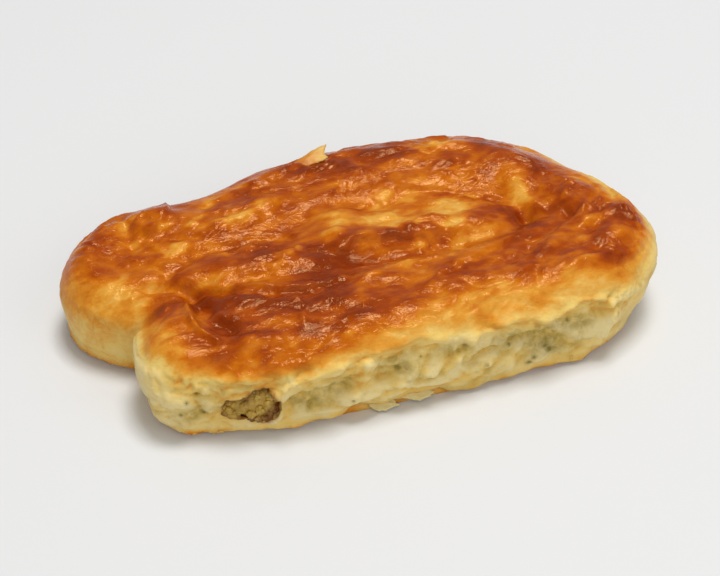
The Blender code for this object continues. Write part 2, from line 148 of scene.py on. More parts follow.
# Edges where one layer lies over the next: the path, with the high side on its left, how far the high
# side takes to fade and its height.
LAYER_EDGES = (
    (
        ((-43, 1.6), (-38.6, -1.2), (-29.3, -5), (-23.1, -8.5), (-17.2, -9.5), (-11.9, -10.2), (-8, -8.3)),
        3.0, 1.1,
    ),
    (((-8.6, 2.2), (-3.4, 2.8), (-0.6, 4.6), (4.1, 3.7), (12.6, 2.9), (19.5, 1.3), (21, -1.5)), 5.0, 1.6),
    (((13.7, -17.8), (20.7, -15.5), (26.3, -13.6), (33, -11.5), (39.6, -9.1), (47.4, -5.4)), 4.0, 1.0),
    (((77, -16), (76, -9), (71.6, -5), (65.2, -4), (58.4, -7.3), (50.4, -11.6), (42, -14)), 6.0, 1.2),
    (((-54, 26), (-50.5, 27.6), (-47.8, 30.2), (-45.5, 35), (-44, 43)), 6.0, 1.6),
    (((17, 24), (24, 22.5), (32, 20), (41, 15.5), (47, 10.5), (51, 7)), 6.0, 0.7),
    (((-40, 20), (-35, 21.2), (-28, 20.8), (-20, 22.5)), 3.0, 0.7),
    (((-36, -27.5), (-28, -30), (-18, -30.5)), 2.0, -0.4),
)
# How far the low side takes to fade, and over which share of its path an edge rises and dies out.
EDGE_DROP = 0.55
EDGE_TAPER = 0.12

# Blisters that stand up from the crust: x, y, half length, half width, turn and height.
BLISTERS = (
    (-1.4, 18.6, 6.0, 3.4, -10, 1.4), (-4.6, 8.9, 3.4, 2.3, -6, 1.0), (12.3, 11.8, 3.0, 1.7, 0, 0.7),
    (14.9, 22.0, 3.2, 1.8, 0, 0.6), (-41.0, 26.8, 2.0, 1.3, 15, 0.8), (-47.8, 27.8, 3.0, 1.3, 15, 0.8),
    (-57.7, 26.0, 1.6, 0.9, 25, 0.6), (-42.8, 23.6, 1.5, 0.9, 20, 0.5), (-46.5, 18.6, 4.5, 2.5, 15, 1.0),
    (-51.7, 21.0, 2.2, 1.7, 0, 0.6), (-28.6, 24.3, 5.0, 2.1, 8, 0.9), (-18.5, 27.6, 3.0, 2.6, 40, 0.8),
    (-35.7, 11.5, 2.0, 1.7, 0, 0.7), (-28.2, 12.0, 3.5, 1.7, 12, 0.7), (-19.6, 5.3, 4.0, 2.1, 6, 0.8),
    (-14.8, 5.8, 2.4, 1.2, 100, 0.8), (-23.7, 1.0, 3.0, 1.5, 8, 0.6), (-7.7, -8.0, 1.7, 1.6, 0, 0.8),
    (0.6, -11.0, 4.0, 1.5, 12, 0.8), (-5.7, -17.2, 2.4, 1.4, 25, 0.6), (2.6, 3.9, 4.0, 3.0, 10, 0.6),
    (-22.4, -13.6, 1.5, 1.7, 30, 0.7), (-18.8, -18.4, 3.0, 1.1, 12, 0.6), (-22.6, -21.6, 2.4, 1.1, 80, 0.5),
    (-44.3, -18.4, 1.5, 1.0, 0, 0.5), (-38.8, -26.8, 3.6, 3.1, 10, 0.7), (33.2, -26.4, 3.0, 1.0, 4, 0.6),
    (66.2, -9.2, 6.0, 1.4, 14, 1.0), (69.5, -17.4, 3.4, 2.5, 20, 0.9), (66.3, -4.1, 3.0, 1.5, 10, 0.3),
    (76.5, -8.5, 2.4, 0.8, 60, 0.6), (77.6, -11.5, 2.6, 0.8, 35, 0.6), (77.0, -14.5, 2.4, 0.8, 10, 0.6),
    (59.3, -16.1, 2.4, 1.5, 0, 0.6), (41.2, -17.5, 1.7, 0.9, 15, 0.5), (49.2, -15.5, 1.7, 0.9, 15, 0.5),
    (52.2, -26.3, 5.0, 1.1, 8, 0.6), (58.0, -25.0, 3.0, 1.0, 0, 0.5), (37.2, 15.5, 3.0, 0.9, -6, 0.6),
    (64.0, 6.0, 2.5, 0.7, 25, 0.5), (65.5, 9.0, 2.5, 0.7, 25, 0.5), (62.5, 3.5, 2.2, 0.7, 30, 0.5),
    (30.0, 9.5, 7.0, 5.0, 10, 0.9), (27.3, -3.0, 2.4, 1.7, 10, 0.6), (17.3, -0.5, 2.0, 1.4, 60, 0.7),
    (-52.0, 34.0, 6.0, 4.5, 20, 0.9), (33.0, 36.0, 6.0, 1.8, 0, 0.7), (-71.5, 27.5, 3.0, 0.8, -35, 0.6),
    (-69.0, 29.0, 3.0, 0.8, -30, 0.5), (-73.5, 24.5, 2.6, 0.8, -45, 0.5), (-13.5, -30.0, 1.6, 1.4, 0, 0.6),
    (-55.5, -4.0, 2.6, 1.6, 70, 0.6), (24.0, -27.0, 5.0, 1.0, 6, 0.5), (9.0, -8.6, 3.4, 1.2, 18, 0.6),
)
# How far noise bends the outline of a blister, and the sizes and places of that noise in x and in y.
BLISTER_WARP = 0.9
BLISTER_NOISE = (((5, 5, 9), 2.6), ((4, 4, 9), 8.1))
# The most that hollows and creases take off the lid together, so that it never wears through.
DEEPEST_HOLLOW = 3.2

# Folds and hollows of the front side: the path as x and z, its half width and its height.
SIDE_FOLDS = (
    (((-47, 18), (-40, 19.5)), 1.6, 0.8),
    (((-33, 17), (-27, 18.6), (-18, 18.8)), 1.3, 1.5),
    (((-30, 9), (-24, 10.5), (-17, 11.5)), 4.0, -2.5),
    (((-35, 16), (-33.4, 11), (-33.8, 5)), 1.5, 1.2),
    (((-47, 16), (-50.5, 11), (-49, 5)), 1.8, 0.7),
    (((-12, 17), (-12, 9), (-6, 5)), 2.6, 0.9),
    (((-6, 14.5), (-1, 16), (4, 17)), 3.2, -2.3),
    (((-8, 20.5), (-1, 21.5), (6, 22)), 1.3, 1.2),
    (((-2, 9.5), (6, 12), (10, 14)), 1.8, 0.9),
    (((10, 17), (17, 18.5)), 2.6, -1.8),
    (((12, 11), (19.5, 14), (22, 19)), 1.7, 1.0),
    (((24, 14), (34, 15), (44, 15.5), (53, 15)), 3.6, -2.5),
    (((29, 20.4), (38, 20), (48, 20), (57, 19.6)), 1.5, 1.3),
    (((37, 10), (42, 7.5), (47, 9)), 2.6, -1.0),
    (((26, 8.5), (32, 7.5)), 2.0, 0.8),
    (((58, 20), (59, 14), (58, 7)), 1.8, 1.2),
    (((-60, 14), (-55, 9)), 4.5, 0.6),
    (((-12, 1), (12, 1.5)), 3.2, -2.2),
)
# How far noise bends these folds, and the size of its waves.
SIDE_WAVER = 4.0
SIDE_WAVER_SIZE = 8

# Wrinkles that run with the rope: length, width and height of each size.
WRINKLES = ((26.0, 9.0, 1.3), (13.0, 5.5, 0.9))
# Soft lumps of the pale side and of the filling: their size and height.
LUMP_SIZE = 9.0
LUMP_HEIGHT = 1.0

# Crinkles of the thin glazed skin, finer than the wrinkles: length, width and height of each size, and how
# far it is turned from the rope.
CRINKLES = ((12.0, 5.5, 1.05, 14), (4.8, 2.8, 0.44, -22), (2.3, 1.5, 0.16, 9))
# The level of the noise that leaves the skin where it is, the level where a pillow is flat on top, and how
# soft its creases are.
CRINKLE_LEVEL = 0.3
CRINKLE_TOP = 0.75
CRINKLE_SOFTNESS = 0.01
# How far noise shifts them, first along and then across the rope, the size of its patches and their place in
# the noise.
CRINKLE_SHIFTS = ((3.2, (12, 9, 9), 4.1), (2.6, (10, 8, 9), 7.9))
# Short fine folds: how many, the seed of their draw, and the ranges of their place across the rope, length,
# drift, bow, width and height.
CREASE_COUNT = 160
CREASE_SEED = 11
CREASE_SIDE = 15
CREASE_LENGTH = (4, 14)
CREASE_DRIFT = 3.5
CREASE_BOW = 1.6
CREASE_WIDTH = (0.4, 0.75)
CREASE_HEIGHT = (0.18, 0.42)
# Two strands count as neighbours when they lie this far apart along the rope. Their wrinkles die out this
# close to the seam between them.
SEAM_RUN = 18.0
SEAM_REACH = 6.0
# How lively the crinkles are from patch to patch: the size of the patches, their mean, swing and limits.
LIVELY_PATCH = (17, 13, 40)
LIVELY_MEAN = 0.75
LIVELY_SWING = 0.9
LIVELY_LIMITS = (0.2, 1.35)
# Smooth stretches of the top: x, y, half length, half width, turn and how much calmer.
CALM = (
    (66, -9, 10.0, 6.0, -12, 0.6), (54, 7, 5.0, 9.0, 0, 0.8), (68, 8, 6.0, 7.0, 0, 0.7),
    (-55, -14, 5.0, 8.0, 0, 0.6), (-66, 12, 8.0, 7.0, 0, 0.2),
)
# How much calmer the sides of the left lobe and of the right end are than the front.
LOBE_CALM = 0.8
RIGHT_END_CALM = 0.5

# Puffs of the pale side, large, small and tiny: their length and height on the side, how they sway along and
# up, the level where they are flat on top, their swell, and their place in the noise.
PUFFS = ((8.5, 6.0, 1, 1, 0.7, 1.9, 6.2), (3.8, 2.6, 1, -1, 0.6, 0.9, 2.8), (1.8, 1.3, 0, 0, 2.0, 0.25, 8.8))
PUFF_SWAY = 1.6
# How deep the folds between them lie.
PUFF_FOLD = 0.85
# The ragged ledge of layers at the foot: its height, how ragged that is, its half thickness, how far it
# stands out and how unevenly, and how far the foot below it is drawn in.
LEDGE_HEIGHT = 2.0
LEDGE_RAGGED = 0.35
LEDGE_THICKNESS = 0.75
LEDGE_OUT = 1.1
LEDGE_UNEVEN = 0.8
FOOT_DRAWN_IN = 3.2
# A thinner layer above the ledge: how much higher it lies and its half thickness.
LAYER_ABOVE = 1.9
LAYER_THICKNESS = 0.5
# Hollows of the underside: depth and half width of the seam between strands, and the size, depth and
# scarcity of trapped bubbles.
UNDER_SEAM = (0.8, 1.0)
BUBBLE_SIZE = 7
BUBBLE_DEPTH = 0.35
BUBBLE_SCARCITY = 0.35

# The torn hole: two overlapping round tears, each with its middle and its half sizes, how ragged they are,
# and the hole's own middle.
TEARS = (((-38.2, -34.0, 10.8), (4.9, 5.6, 6.0)), ((-44.2, -33.6, 10.2), (4.6, 5.0, 3.6)))
TEAR_RAGGED = 0.22
HOLE = (-40.2, -34.0, 10.0)
# Where the filling swells out behind the hole: middle and half size of each swelling.
SWELLINGS = (((-38.4, -29.2, 10.6), (6.4, 4.8, 6.9)), ((-44.0, -27.4, 10.2), (5.4, 4.6, 5.0)))
# Finer lumps of the filling near the hole: how far from it they die out, their size and their height.
HOLE_REACH = 12
HOLE_LUMP_SIZE = 1.6
HOLE_LUMP_HEIGHT = 0.9

# Loose skins: corners of the upper face in order, then the thickness and how far it bulges.
SKINS = (
    (
        (
            (-10.5, -31.3, 1.9), (-8.7, -32.2, 1.6), (-7.8, -33.8, 1.1), (-6.1, -35.2, 0.9),
            (-4.2, -35.5, 0.9), (-2.3, -34.9, 1.1), (-0.3, -34.9, 1.2), (-1.1, -34.0, 1.4),
            (-1.4, -33.0, 1.8), (-3.3, -31.0, 2.6), (-7.0, -30.8, 2.4),
        ),
        0.32, 0.5,
    ),
    (
        (
            (-3.0, -31.2, 2.4), (-1.4, -32.9, 1.9), (1.3, -33.4, 1.9), (3.3, -34.2, 1.5),
            (5.3, -35.1, 1.1), (6.9, -34.6, 1.3), (8.5, -34.4, 1.3), (9.9, -33.6, 1.7),
            (9.4, -32.3, 2.4), (7.7, -31.2, 2.9), (4.4, -31.0, 2.7), (0.9, -31.2, 2.5),
        ),
        0.32, 0.4,
    ),
    (
        (
            (-8.5, 41.5, 27.0), (-5.9, 40.6, 27.8), (-2.4, 40.4, 28.6), (2.1, 40.6, 29.4),
            (4.2, 41.6, 29.4), (3.4, 42.6, 29.9), (3.8, 43.8, 30.6), (4.9, 45.2, 31.5),
            (2.0, 45.6, 30.4), (-0.8, 45.0, 29.7), (-4.6, 44.0, 28.6), (-7.8, 43.0, 27.4),
        ),
        0.4, 0.9,
    ),
)

# How finely the loose skins are divided, and how far noise lifts them and pulls their edges about.
SKIN_CUTS = 5
SKIN_WAVE = 0.28
SKIN_RAGGED = 0.22
# How browned they are: those at the foot, and the one at the back edge from its left to its right end.
FOOT_SKIN_TOAST = 0.05
BACK_SKIN_TOAST = (0.95, 0.45)

# Where the oven browned the crust more or less: x, y, half length, half width, turn, and how much.
BROWNED = (
    (-55, -2, 4.0, 4.5, 20, 0.30),
    # The next entry darkens the deep hollow beside the knob's ridge: browning and painted shade in that
    # hollow.
    (-46.5, -3.5, 3.2, 4.0, 0, 0.44),
    (-43.5, -12, 3.0, 6.5, -8, 0.26),
    (-38, -8, 8.0, 3.4, -25, 0.22),
    (-41, -17, 5.5, 3.0, -5, 0.24),
    (-40, -23.5, 9.0, 2.6, -4, 0.22),
    (-30, -13, 7.0, 4.5, -6, 0.24),
    (-22, -25.5, 8.0, 2.6, -4, 0.22),
    (-15, -17, 11.0, 6.0, -6, 0.30),
    (-6, -25.5, 8.0, 3.0, 0, 0.18),
    (-11, -8, 7.0, 4.5, 0, 0.34),
    (-9, 2, 7.0, 6.0, 40, 0.30),
    (-1, -2, 5.0, 3.6, 0, 0.22),
    (-2, 3.5, 5.0, 4.0, 0, 0.10),
    (12, 3, 9.0, 2.2, -6, 0.20),
    (28, 2.5, 3.5, 2.2, 0, -0.24),
    (-58, 3.5, 3.4, 3.0, 0, 0.16),
    (-57, -6, 4.0, 4.0, 0, 0.14),
    (-44, 37, 9.0, 4.0, 10, 0.14),
    (-53, -21, 4.0, 3.0, 20, 0.12),
    (-39.5, 9.5, 4.0, 5.0, 0, 0.12),
    (-6.6, 7, 3.0, 2.0, 0, -0.18),
    (13, -26.5, 5.0, 2.2, 0, -0.14),
    (38, -29.5, 5.0, 2.4, 4, -0.12),
    (12, 6.5, 4.0, 2.0, 0, -0.14),
    (51, -6, 3.0, 2.4, -30, 0.14),
    (27, -13.5, 4.5, 1.8, 12, -0.20),
    (50, -30, 9.0, 2.6, 4, -0.22),
    (-5, 21, 4.0, 2.6, 0, 0.22),
    (3, 17.5, 4.0, 2.4, 0, 0.20),
    (30, 17.5, 5.0, 2.4, 0, 0.20),
    (-19, -2.8, 4.0, 1.8, 8, 0.20),
    (61, -25, 5.0, 2.4, 10, 0.24),
    (-26, 8, 9.0, 4.5, -6, 0.20),
    (40, 6, 8.0, 2.6, -4, 0.20),
    (48, -3, 2.4, 4.0, 20, 0.30),
    (56, 4, 3.0, 6.0, 10, 0.06),
    (46, 4, 3.4, 3.4, 0, 0.26),
    (51, 12, 4.0, 6.0, 0, -0.26),
    (73, 1, 5.0, 2.4, -60, -0.24),
    (44, -8, 8.0, 2.6, 28, 0.16),
    (70, -9, 9.0, 4.0, -8, 0.32),
    (76, -12, 3.4, 5.5, 20, 0.26),
    (62, -18, 6.0, 4.0, 0, 0.16),
    (47, -19, 10.0, 3.4, 4, 0.12),
    (24, -18, 10.0, 4.0, 0, 0.08),
    (0, 38.5, 12.0, 4.5, -4, 0.28),
    (20, 38, 8.0, 4.0, -4, 0.34),
    (49, 30, 7.0, 5.0, -35, 0.24),
    (62, 20, 5.0, 6.0, -40, 0.22),
    (0, 26, 5.0, 2.6, 0, 0.18),
    (-51, 36, 5.0, 4.0, 0, 0.18),
    (-24, 33, 10.0, 3.6, 8, 0.14),
    (-68, 27, 6.0, 4.0, 40, 0.14),
    (62, 6, 3.6, 8.0, -10, 0.12),
    (77, 4, 14.0, 2.4, -69, -0.36),
    (38, 36.5, 7.0, 3.6, -12, -0.20),
    (-21, 39.5, 5.0, 1.6, 8, -0.24),
    (-33, 36, 4.0, 2.0, 0, -0.26),
    (-59, 34, 1.8, 4.5, 0, -0.26),
    (18, 18, 13.0, 6.0, -8, -0.20),
    (30, 13, 9.0, 4.0, -6, -0.12),
    (10, 12, 7.0, 3.0, -6, -0.30),
    (-2, 13, 3.6, 2.4, 0, -0.22),
    (16, 7.5, 6.0, 2.2, -6, -0.34),
    (29, 9, 4.0, 2.6, -6, -0.16),
    (52, 11, 1.3, 4.5, -4, -0.30),
    (34, -3, 9.0, 3.0, 25, -0.14),
    (20, -9, 10.0, 3.0, 6, -0.10),
    (-40, 2.5, 6.0, 2.6, -16, -0.20),
    (-27, 0, 7.0, 2.2, -14, -0.10),
    (-58, 12, 6.0, 5.0, 0, -0.14),
    (-68, 7, 7.0, 5.0, 20, -0.32),
    (-76, 14, 4.0, 6.0, 10, -0.20),
    (-60, 3, 5.0, 3.0, 20, -0.24),
    (-59, -14, 2.4, 6.0, 10, -0.26),
    (-55, -22, 5.0, 2.6, -40, -0.26),
    (-38, 24, 12.0, 3.6, 6, -0.06),
    (2, -34, 12.0, 2.4, 0, -0.20),
    (6, -30, 14.0, 3.0, 0, -0.12),
    (32, -29, 16.0, 4.0, 0, -0.17),
    (58, -29, 9.0, 3.6, 10, -0.08),
    (70, -26, 5.0, 3.6, 30, -0.04),
)

# The edge where the browned top gives way to the pale side: x, y, height and softness. The last five lie in
# the middle of the coil, where all that shows is top.
BROWN_EDGE = (
    (-66, -14, 22.8, 2.6), (-62, -18, 25.0, 2.2), (-58, -23, 25.2, 2.0), (-57, -28, 22.4, 1.6),
    (-50, -29, 20.3, 1.5), (-45, -31, 20.5, 1.4), (-28, -34, 21.8, 1.8),
    (-8, -35, 23.4, 2.8), (14, -36, 24.4, 3.8), (34, -35, 24.2, 3.6), (48, -33, 25.2, 3.0),
    (58, -31, 24.2, 3.0), (66, -32, 22.4, 3.0), (78, -22, 26.0, 3.0), (84, -8, 28.0, 2.2), (80, 8, 28.6, 1.8),
    (72, 20, 27.0, 1.8), (56, 33, 24.0, 2.6), (36, 46, 22.5, 3.0), (8, 52, 22.0, 3.0),
    (-22, 48, 21.0, 3.0), (-48, 44, 19.5, 4.0), (-70, 36, 18.0, 5.0), (-80, 20, 18.0, 5.0),
    (-75, 7, 19.4, 4.0), (-64, 1, 19.8, 3.6),
    (52, 0, 12.0, 3.0), (48, 10, 12.0, 3.0), (38, 8, 14.0, 3.0), (4, 8, 14.0, 3.0), (-30, 6, 14.0, 3.0),
)
# How widely neighbouring entries blend, as a squared distance.
EDGE_BLEND = 20
# How browned each part is, from 0 for pale to 1 for dark brown: the top and the least of it, the side, how
# much more just below the edge, the left lobe's side, the foot, with painted shade low on it, its left end
# and the underside.
TOP_TOAST = 0.70
LEAST_TOP_TOAST = 0.40
SIDE_TOAST = 0.17
EDGE_TOAST = 0.10
LOBE_TOAST = 0.10
FOOT_TOAST_AND_SHADE = 0.26
FOOT_END_TOAST = 0.20
UNDER_TOAST = 0.34
# Uneven browning of the top: how much, the size of its patches and their place in the noise.
TOP_MOTTLE = ((0.07, (9, 5, 6), 5.9), (0.06, (3.2, 2.0, 3), 7.2))
# How much more browned the raised skin of the top is, with its blisters painted paler as a painted highlight,
# and how much paler the puffed dough of the side is painted, as painted light on the puffs and painted shade
# in the folds between them.
RAISED_TOAST_AND_HIGHLIGHT = 0.16
PUFF_PAINTED_LIGHT_AND_SHADE = 0.20
# How glazed the steep slopes of the top are, where the level parts have 1.
SLOPE_GLAZE = 0.3
# How the pastry is singed at the torn hole: where its rim lies, as a share of the tear's size, the half width
# of the band there, how singed the wall inside is, and how far back in y any of it reaches.
RIM_AT = 0.98
RIM_WIDTH = 0.10
WALL_SINGE = 0.45
SINGE_BACK = -26
# How browned the filling gets at the hole's rim and low on its right.
FILLING_SINGE = 0.75

# Where the filling shows through the thin pale side, laid in the side's recesses and dark enough to be
# painted
# shade there as well: x and z of its middle, half sizes, and how much.
SHOW_THROUGH_AND_SHADE = (
    (-24, 10, 7.0, 4.6, 1.0), (-16, 12.5, 4.0, 3.0, 0.6), (-1, 15.5, 7.5, 3.4, 0.9), (3, 12, 3.5, 2.4, 0.5),
    (14, 17.5, 5.5, 2.6, 0.9), (20, 13, 3.0, 4.0, 0.5), (29, 14, 7.0, 4.0, 0.7), (38, 15.5, 7.0, 2.6, 0.9),
    (-38, 20, 8.0, 2.0, 0.25), (41, 10, 6.0, 4.4, 0.95), (49, 14.5, 6.5, 3.2, 0.9), (54, 12, 4.0, 4.0, 0.5),
    (10, 9, 8.0, 3.0, 0.3), (48, 7.0, 6.0, 3.0, 0.7), (22, 3.0, 10.0, 1.6, 0.5), (-52, 12, 5.0, 5.0, 0.55),
    (-57, 8, 4.0, 4.0, 0.5), (26, 6, 6.0, 2.5, 0.4), (-46, 18, 4.0, 2.4, 0.3),
)
# How far the filling shows dimly elsewhere on the side, more in the folds between puffs as painted shade, and
# how much less where the dough is puffed up, as painted light on the puffs.
DIM_SHOW = 0.38
PUFF_PAINTED_LIGHT = 0.25
# Herbs seen through the side: x, z and size.
HERB_SPECKS = (
    (41.5, 9.6, 0.9), (38.5, 6.2, 0.7), (43.2, 7.6, 0.8), (37.2, 4.6, 0.9), (31.0, 12.4, 0.5),
    (48.5, 15.2, 0.6), (17.5, 17.6, 0.7), (-1.0, 13.6, 0.5), (-14.0, 8.2, 0.4), (-52.5, 9.2, 0.7),
    (-57.0, 14.0, 0.5), (-54.0, 16.0, 0.6), (-58.5, 9.0, 0.5), (24.0, 9.0, 0.4), (5.0, 17.0, 0.4),
)

# Voxels and rounds of smoothing for the coil as it is fused, for its final skin and for the filling, and the
# voxels of the cavity.
COARSE_VOXEL = 1.2
COARSE_SMOOTH = 18
FINE_VOXEL = 0.58
FINE_SMOOTH = 6
FILLING_VOXEL = 1.0
FILLING_SMOOTH = 10
CAVITY_VOXEL = 1.8
# The share of its faces that the flat underside keeps, and how far down a face has to point to be part of it.
UNDERSIDE_SHARE = 0.12
UNDERSIDE_FACING = -0.85
# How much rougher the matt side is than the glazed top.
MATT_SIDE = 0.32

# How far each scattered piece tilts and turns either way, in radians.
SCATTER_TURNS = (0.35, 0.35, 3.14)

# The studio's lights: name, place and width in metres, and the setting that holds each one's power.
LIGHTS = (
    ("key", (0.20, 0.08, 1.66), 0.56, "key_power"),
    ("right fill", (0.90, -1.30, 1.10), 1.10, "fill_power"),
    ("front fill", (-0.45, -1.75, 1.10), 1.30, "front_power"),
)
TABLE_SIZE = 3.0

# The camera: its turn from square on, its angle above the table, its distance in metres, its lens and sensor,
# and the point it looks at, in the same counting as the stations.
VIEW_TURN = -18.5
VIEW_RISE = 40.0
VIEW_DISTANCE = 0.480
VIEW_LENS = 86.4
VIEW_SENSOR = 36.0
VIEW_POINT = (0.0, 0.0, 14.0)

Ring = namedtuple("Ring", "centre direction half_width bottom top dome taper shrink")


def catmull_rom(values, i, t):
    """The value at share t between entries i and i + 1 of a list of equal-length tuples."""
    last = len(values) - 1
    a, b, c, d = (values[min(max(k, 0), last)] for k in (i - 1, i, i + 1, i + 2))
    return [
        0.5 * (2 * q + (r - p) * t + (2 * p - 5 * q + 4 * r - s) * t * t + (3 * q - p - 3 * r + s) * t**3)
        for p, q, r, s in zip(a, b, c, d)
    ]


def rings_along(stations, wall=0.0, floor=-FOOT_DEPTH, lid=0.0):
    """Cross-sections at even steps along stations, drawn in by a wall, a floor and a lid."""
    rows = [
        catmull_rom(stations, i, step / STEPS_PER_STATION)
        for i in range(len(stations) - 1)
        for step in range(STEPS_PER_STATION)
    ] + [list(stations[-1])]
    rings = []
    for k, (x, y, half_width, height, dome, taper) in enumerate(rows):
        before, after = rows[max(k - 1, 0)], rows[min(k + 1, len(rows) - 1)]
        direction = Vector((after[0] - before[0], after[1] - before[1], 0)).normalized()
        centre = Vector((x, y, 0))
        rings.append(Ring(centre, direction, half_width - wall, floor, height - lid, dome, taper, 1.0))
    return rounded_end(rings[0], -1)[::-1] + rings + rounded_end(rings[-1], 1)


def rounded_end(ring, sign):
    """Shrinking rings past one end of a strand."""
    made = []
    for k in range(1, END_RINGS + 1):
        out = math.sin(math.pi / 2 * k / END_RINGS) * END_REACH
        centre = ring.centre + ring.direction * (sign * out * ring.half_width)
        made.append(ring._replace(centre=centre, shrink=(1 - out**END_POWER) ** (1 / END_POWER)))
    return made


def signed_power(value, power):
    """A power that keeps the sign of its value."""
    return math.copysign(abs(value) ** power, value)


def outline_of(ring):
    """The points of one cross-section, in mm."""
    widest = ring.bottom + WIDEST_AT * (ring.top - ring.bottom)
    across = Vector((ring.direction.y, -ring.direction.x, 0))
    points = []
    for k in range(SECTION_POINTS):
        angle = 2 * math.pi * k / SECTION_POINTS
        c, s = math.cos(angle), math.sin(angle)
        if s >= 0:
            side = ring.half_width * signed_power(c, 2 / ring.dome)
            up = (ring.top - widest) * s ** (2 / ring.dome)
        else:
            fall = abs(s) ** (2 / FOOT_POWER)
            side = ring.half_width * signed_power(c, 2 / FOOT_POWER) * (1 - ring.taper * fall)
            up = -(widest - ring.bottom) * fall
        points.append(ring.centre + across * (side * ring.shrink) + Vector((0, 0, widest + up * ring.shrink)))
    return points


def add_strand(bm, rings):
    """A closed tube through the rings."""
    middle = Vector(MIDDLE)
    loops = [[bm.verts.new((point - middle) * MM) for point in outline_of(ring)] for ring in rings]
    faces = [bm.faces.new(loops[0][::-1]), bm.faces.new(loops[-1])]
    for first, second in zip(loops, loops[1:]):
        for k in range(SECTION_POINTS):
            n = (k + 1) % SECTION_POINTS
            faces.append(bm.faces.new((first[k], first[n], second[n], second[k])))
    bmesh.ops.recalc_face_normals(bm, faces=faces)


def mesh_from(name, bm):
    """Ends a bmesh as a mesh."""
    mesh = bpy.data.meshes.new(name)
    bm.to_mesh(mesh)
    bm.free()
    return mesh


def add_object(name, mesh):
    """Puts a mesh in the scene, at the origin."""
    obj = bpy.data.objects.new(name, mesh)
    bpy.context.scene.collection.objects.link(obj)
    return obj


def apply_modifiers(obj):
    """Makes what the modifiers show the object's own mesh."""
    bpy.context.view_layer.update()
    graph = bpy.context.evaluated_depsgraph_get()
    mesh = bpy.data.meshes.new_from_object(obj.evaluated_get(graph))
    obj.modifiers.clear()
    obj.data = mesh


def fuse(obj, voxel, rounds):
    """Makes what overlaps in a mesh one skin, and softens it."""
    remesh = obj.modifiers.new("fuse", "REMESH")
    remesh.mode = "VOXEL"
    remesh.voxel_size = voxel * MM
    smooth = obj.modifiers.new("soften", "SMOOTH")
    smooth.factor = 0.5
    smooth.iterations = rounds
    apply_modifiers(obj)


def combine(obj, operation, other):
    """Joins a helper to a mesh, or cuts it away, and removes the helper."""
    step = obj.modifiers.new(other.name, "BOOLEAN")
    step.operation = operation
    step.object = other
    apply_modifiers(obj)
    bpy.data.objects.remove(other, do_unlink=True)


def coordinates(mesh):
    """The points of a mesh in mm, counted as the stations are, and its normals."""
    places = np.empty(len(mesh.vertices) * 3, np.float32)
    mesh.vertices.foreach_get("co", places)
    normals = np.empty(len(mesh.vertices) * 3, np.float32)
    mesh.vertex_normals.foreach_get("vector", normals)
    return places.reshape(-1, 3).astype(float) / MM + MIDDLE, normals.reshape(-1, 3).astype(float)


def move_points(mesh, places):
    """Puts the points of a mesh at places in mm, counted as the stations are."""
    mesh.vertices.foreach_set("co", ((places - MIDDLE) * MM).astype(np.float32).ravel())
    mesh.update()


def set_attribute(mesh, name, values):
    """Writes one number to each point of a mesh, for its material or for a later step."""
    layer = mesh.attributes.get(name) or mesh.attributes.new(name, "FLOAT", "POINT")
    layer.data.foreach_set("value", np.asarray(values, np.float32))


def stored(mesh, name):
    """The numbers that set_attribute wrote."""
    values = np.empty(len(mesh.vertices), np.float32)
    mesh.attributes[name].data.foreach_get("value", values)
    return values


def smooth_share(value, low, high):
    """0 up to low, 1 from high on, and a smooth rise between."""
    share = np.clip((value - low) / (high - low), 0, 1)
    return share * share * (3 - 2 * share)


def bell(distance, width):
    """1 where the distance is 0, falling off smoothly to about a third at the width."""
    return np.exp(-((distance / width) ** 2))


def facings(normals):
    """How far each point faces up, sideways, to the front and down, each as a share."""
    up = smooth_share(normals[:, 2], 0.2, 0.75)
    side = 1 - smooth_share(np.abs(normals[:, 2]), 0.3, 0.8)
    front = side * smooth_share(-normals[:, 1], 0.2, 0.7)
    down = smooth_share(-normals[:, 2], 0.6, 0.9)
    return up, side, front, down


def distance_to_path(points, path):
    """How far each of the points, given as two columns, is from a line through the path's points."""
    nearest = np.full(len(points), np.inf)
    for a, b in zip(np.array(path[:-1], float), np.array(path[1:], float)):
        run = b - a
        share = np.clip(((points - a) @ run) / (run @ run), 0, 1)
        nearest = np.minimum(nearest, np.linalg.norm(points - a - share[:, None] * run, axis=1))
    return nearest


def folds(points, table):
    """Soft ridges and hollows along the paths of a table."""
    height = np.zeros(len(points))
    for path, half_width, rise in table:
        height += rise * bell(distance_to_path(points, path), half_width)
    return height


def wavered(points):
    """The points, given as two columns, moved a little by soft noise so that straight folds waver."""
    moved = [
        [noise.noise(Vector((u / SIDE_WAVER_SIZE, v / SIDE_WAVER_SIZE, offset))) for offset in (2.6, 8.1)]
        for u, v in points
    ]
    return points + SIDE_WAVER * np.array(moved)


def layer_edges(points, table):
    """Steps that drop sharply on the right of each path and fade slowly on its left."""
    height = np.zeros(len(points))
    for path, fade, rise in table:
        line = np.array(path, float)
        nearest = np.full(len(points), np.inf)
        side = np.zeros(len(points))
        run = np.zeros(len(points))
        for k in range(len(line) - 1):
            step = line[k + 1] - line[k]
            share = ((points - line[k]) @ step) / (step @ step)
            offset = points - line[k] - np.clip(share, 0, 1)[:, None] * step
            gap = np.linalg.norm(offset, axis=1)
            closer = gap < nearest
            nearest = np.where(closer, gap, nearest)
            turned = (step[0] * offset[:, 1] - step[1] * offset[:, 0]) / np.linalg.norm(step)
            side = np.where(closer, np.where(turned > 0, gap, -gap), side)
            run = np.where(closer, (k + np.clip(share, 0, 1)) / (len(line) - 1), run)
        ends = smooth_share(run, 0, EDGE_TAPER) * (1 - smooth_share(run, 1 - EDGE_TAPER, 1))
        high = np.exp(-np.maximum(side, 0) / fade)
        low = bell(np.minimum(side, 0), EDGE_DROP)
        height += rise * ends * np.where(side > 0, high, low)
    return height


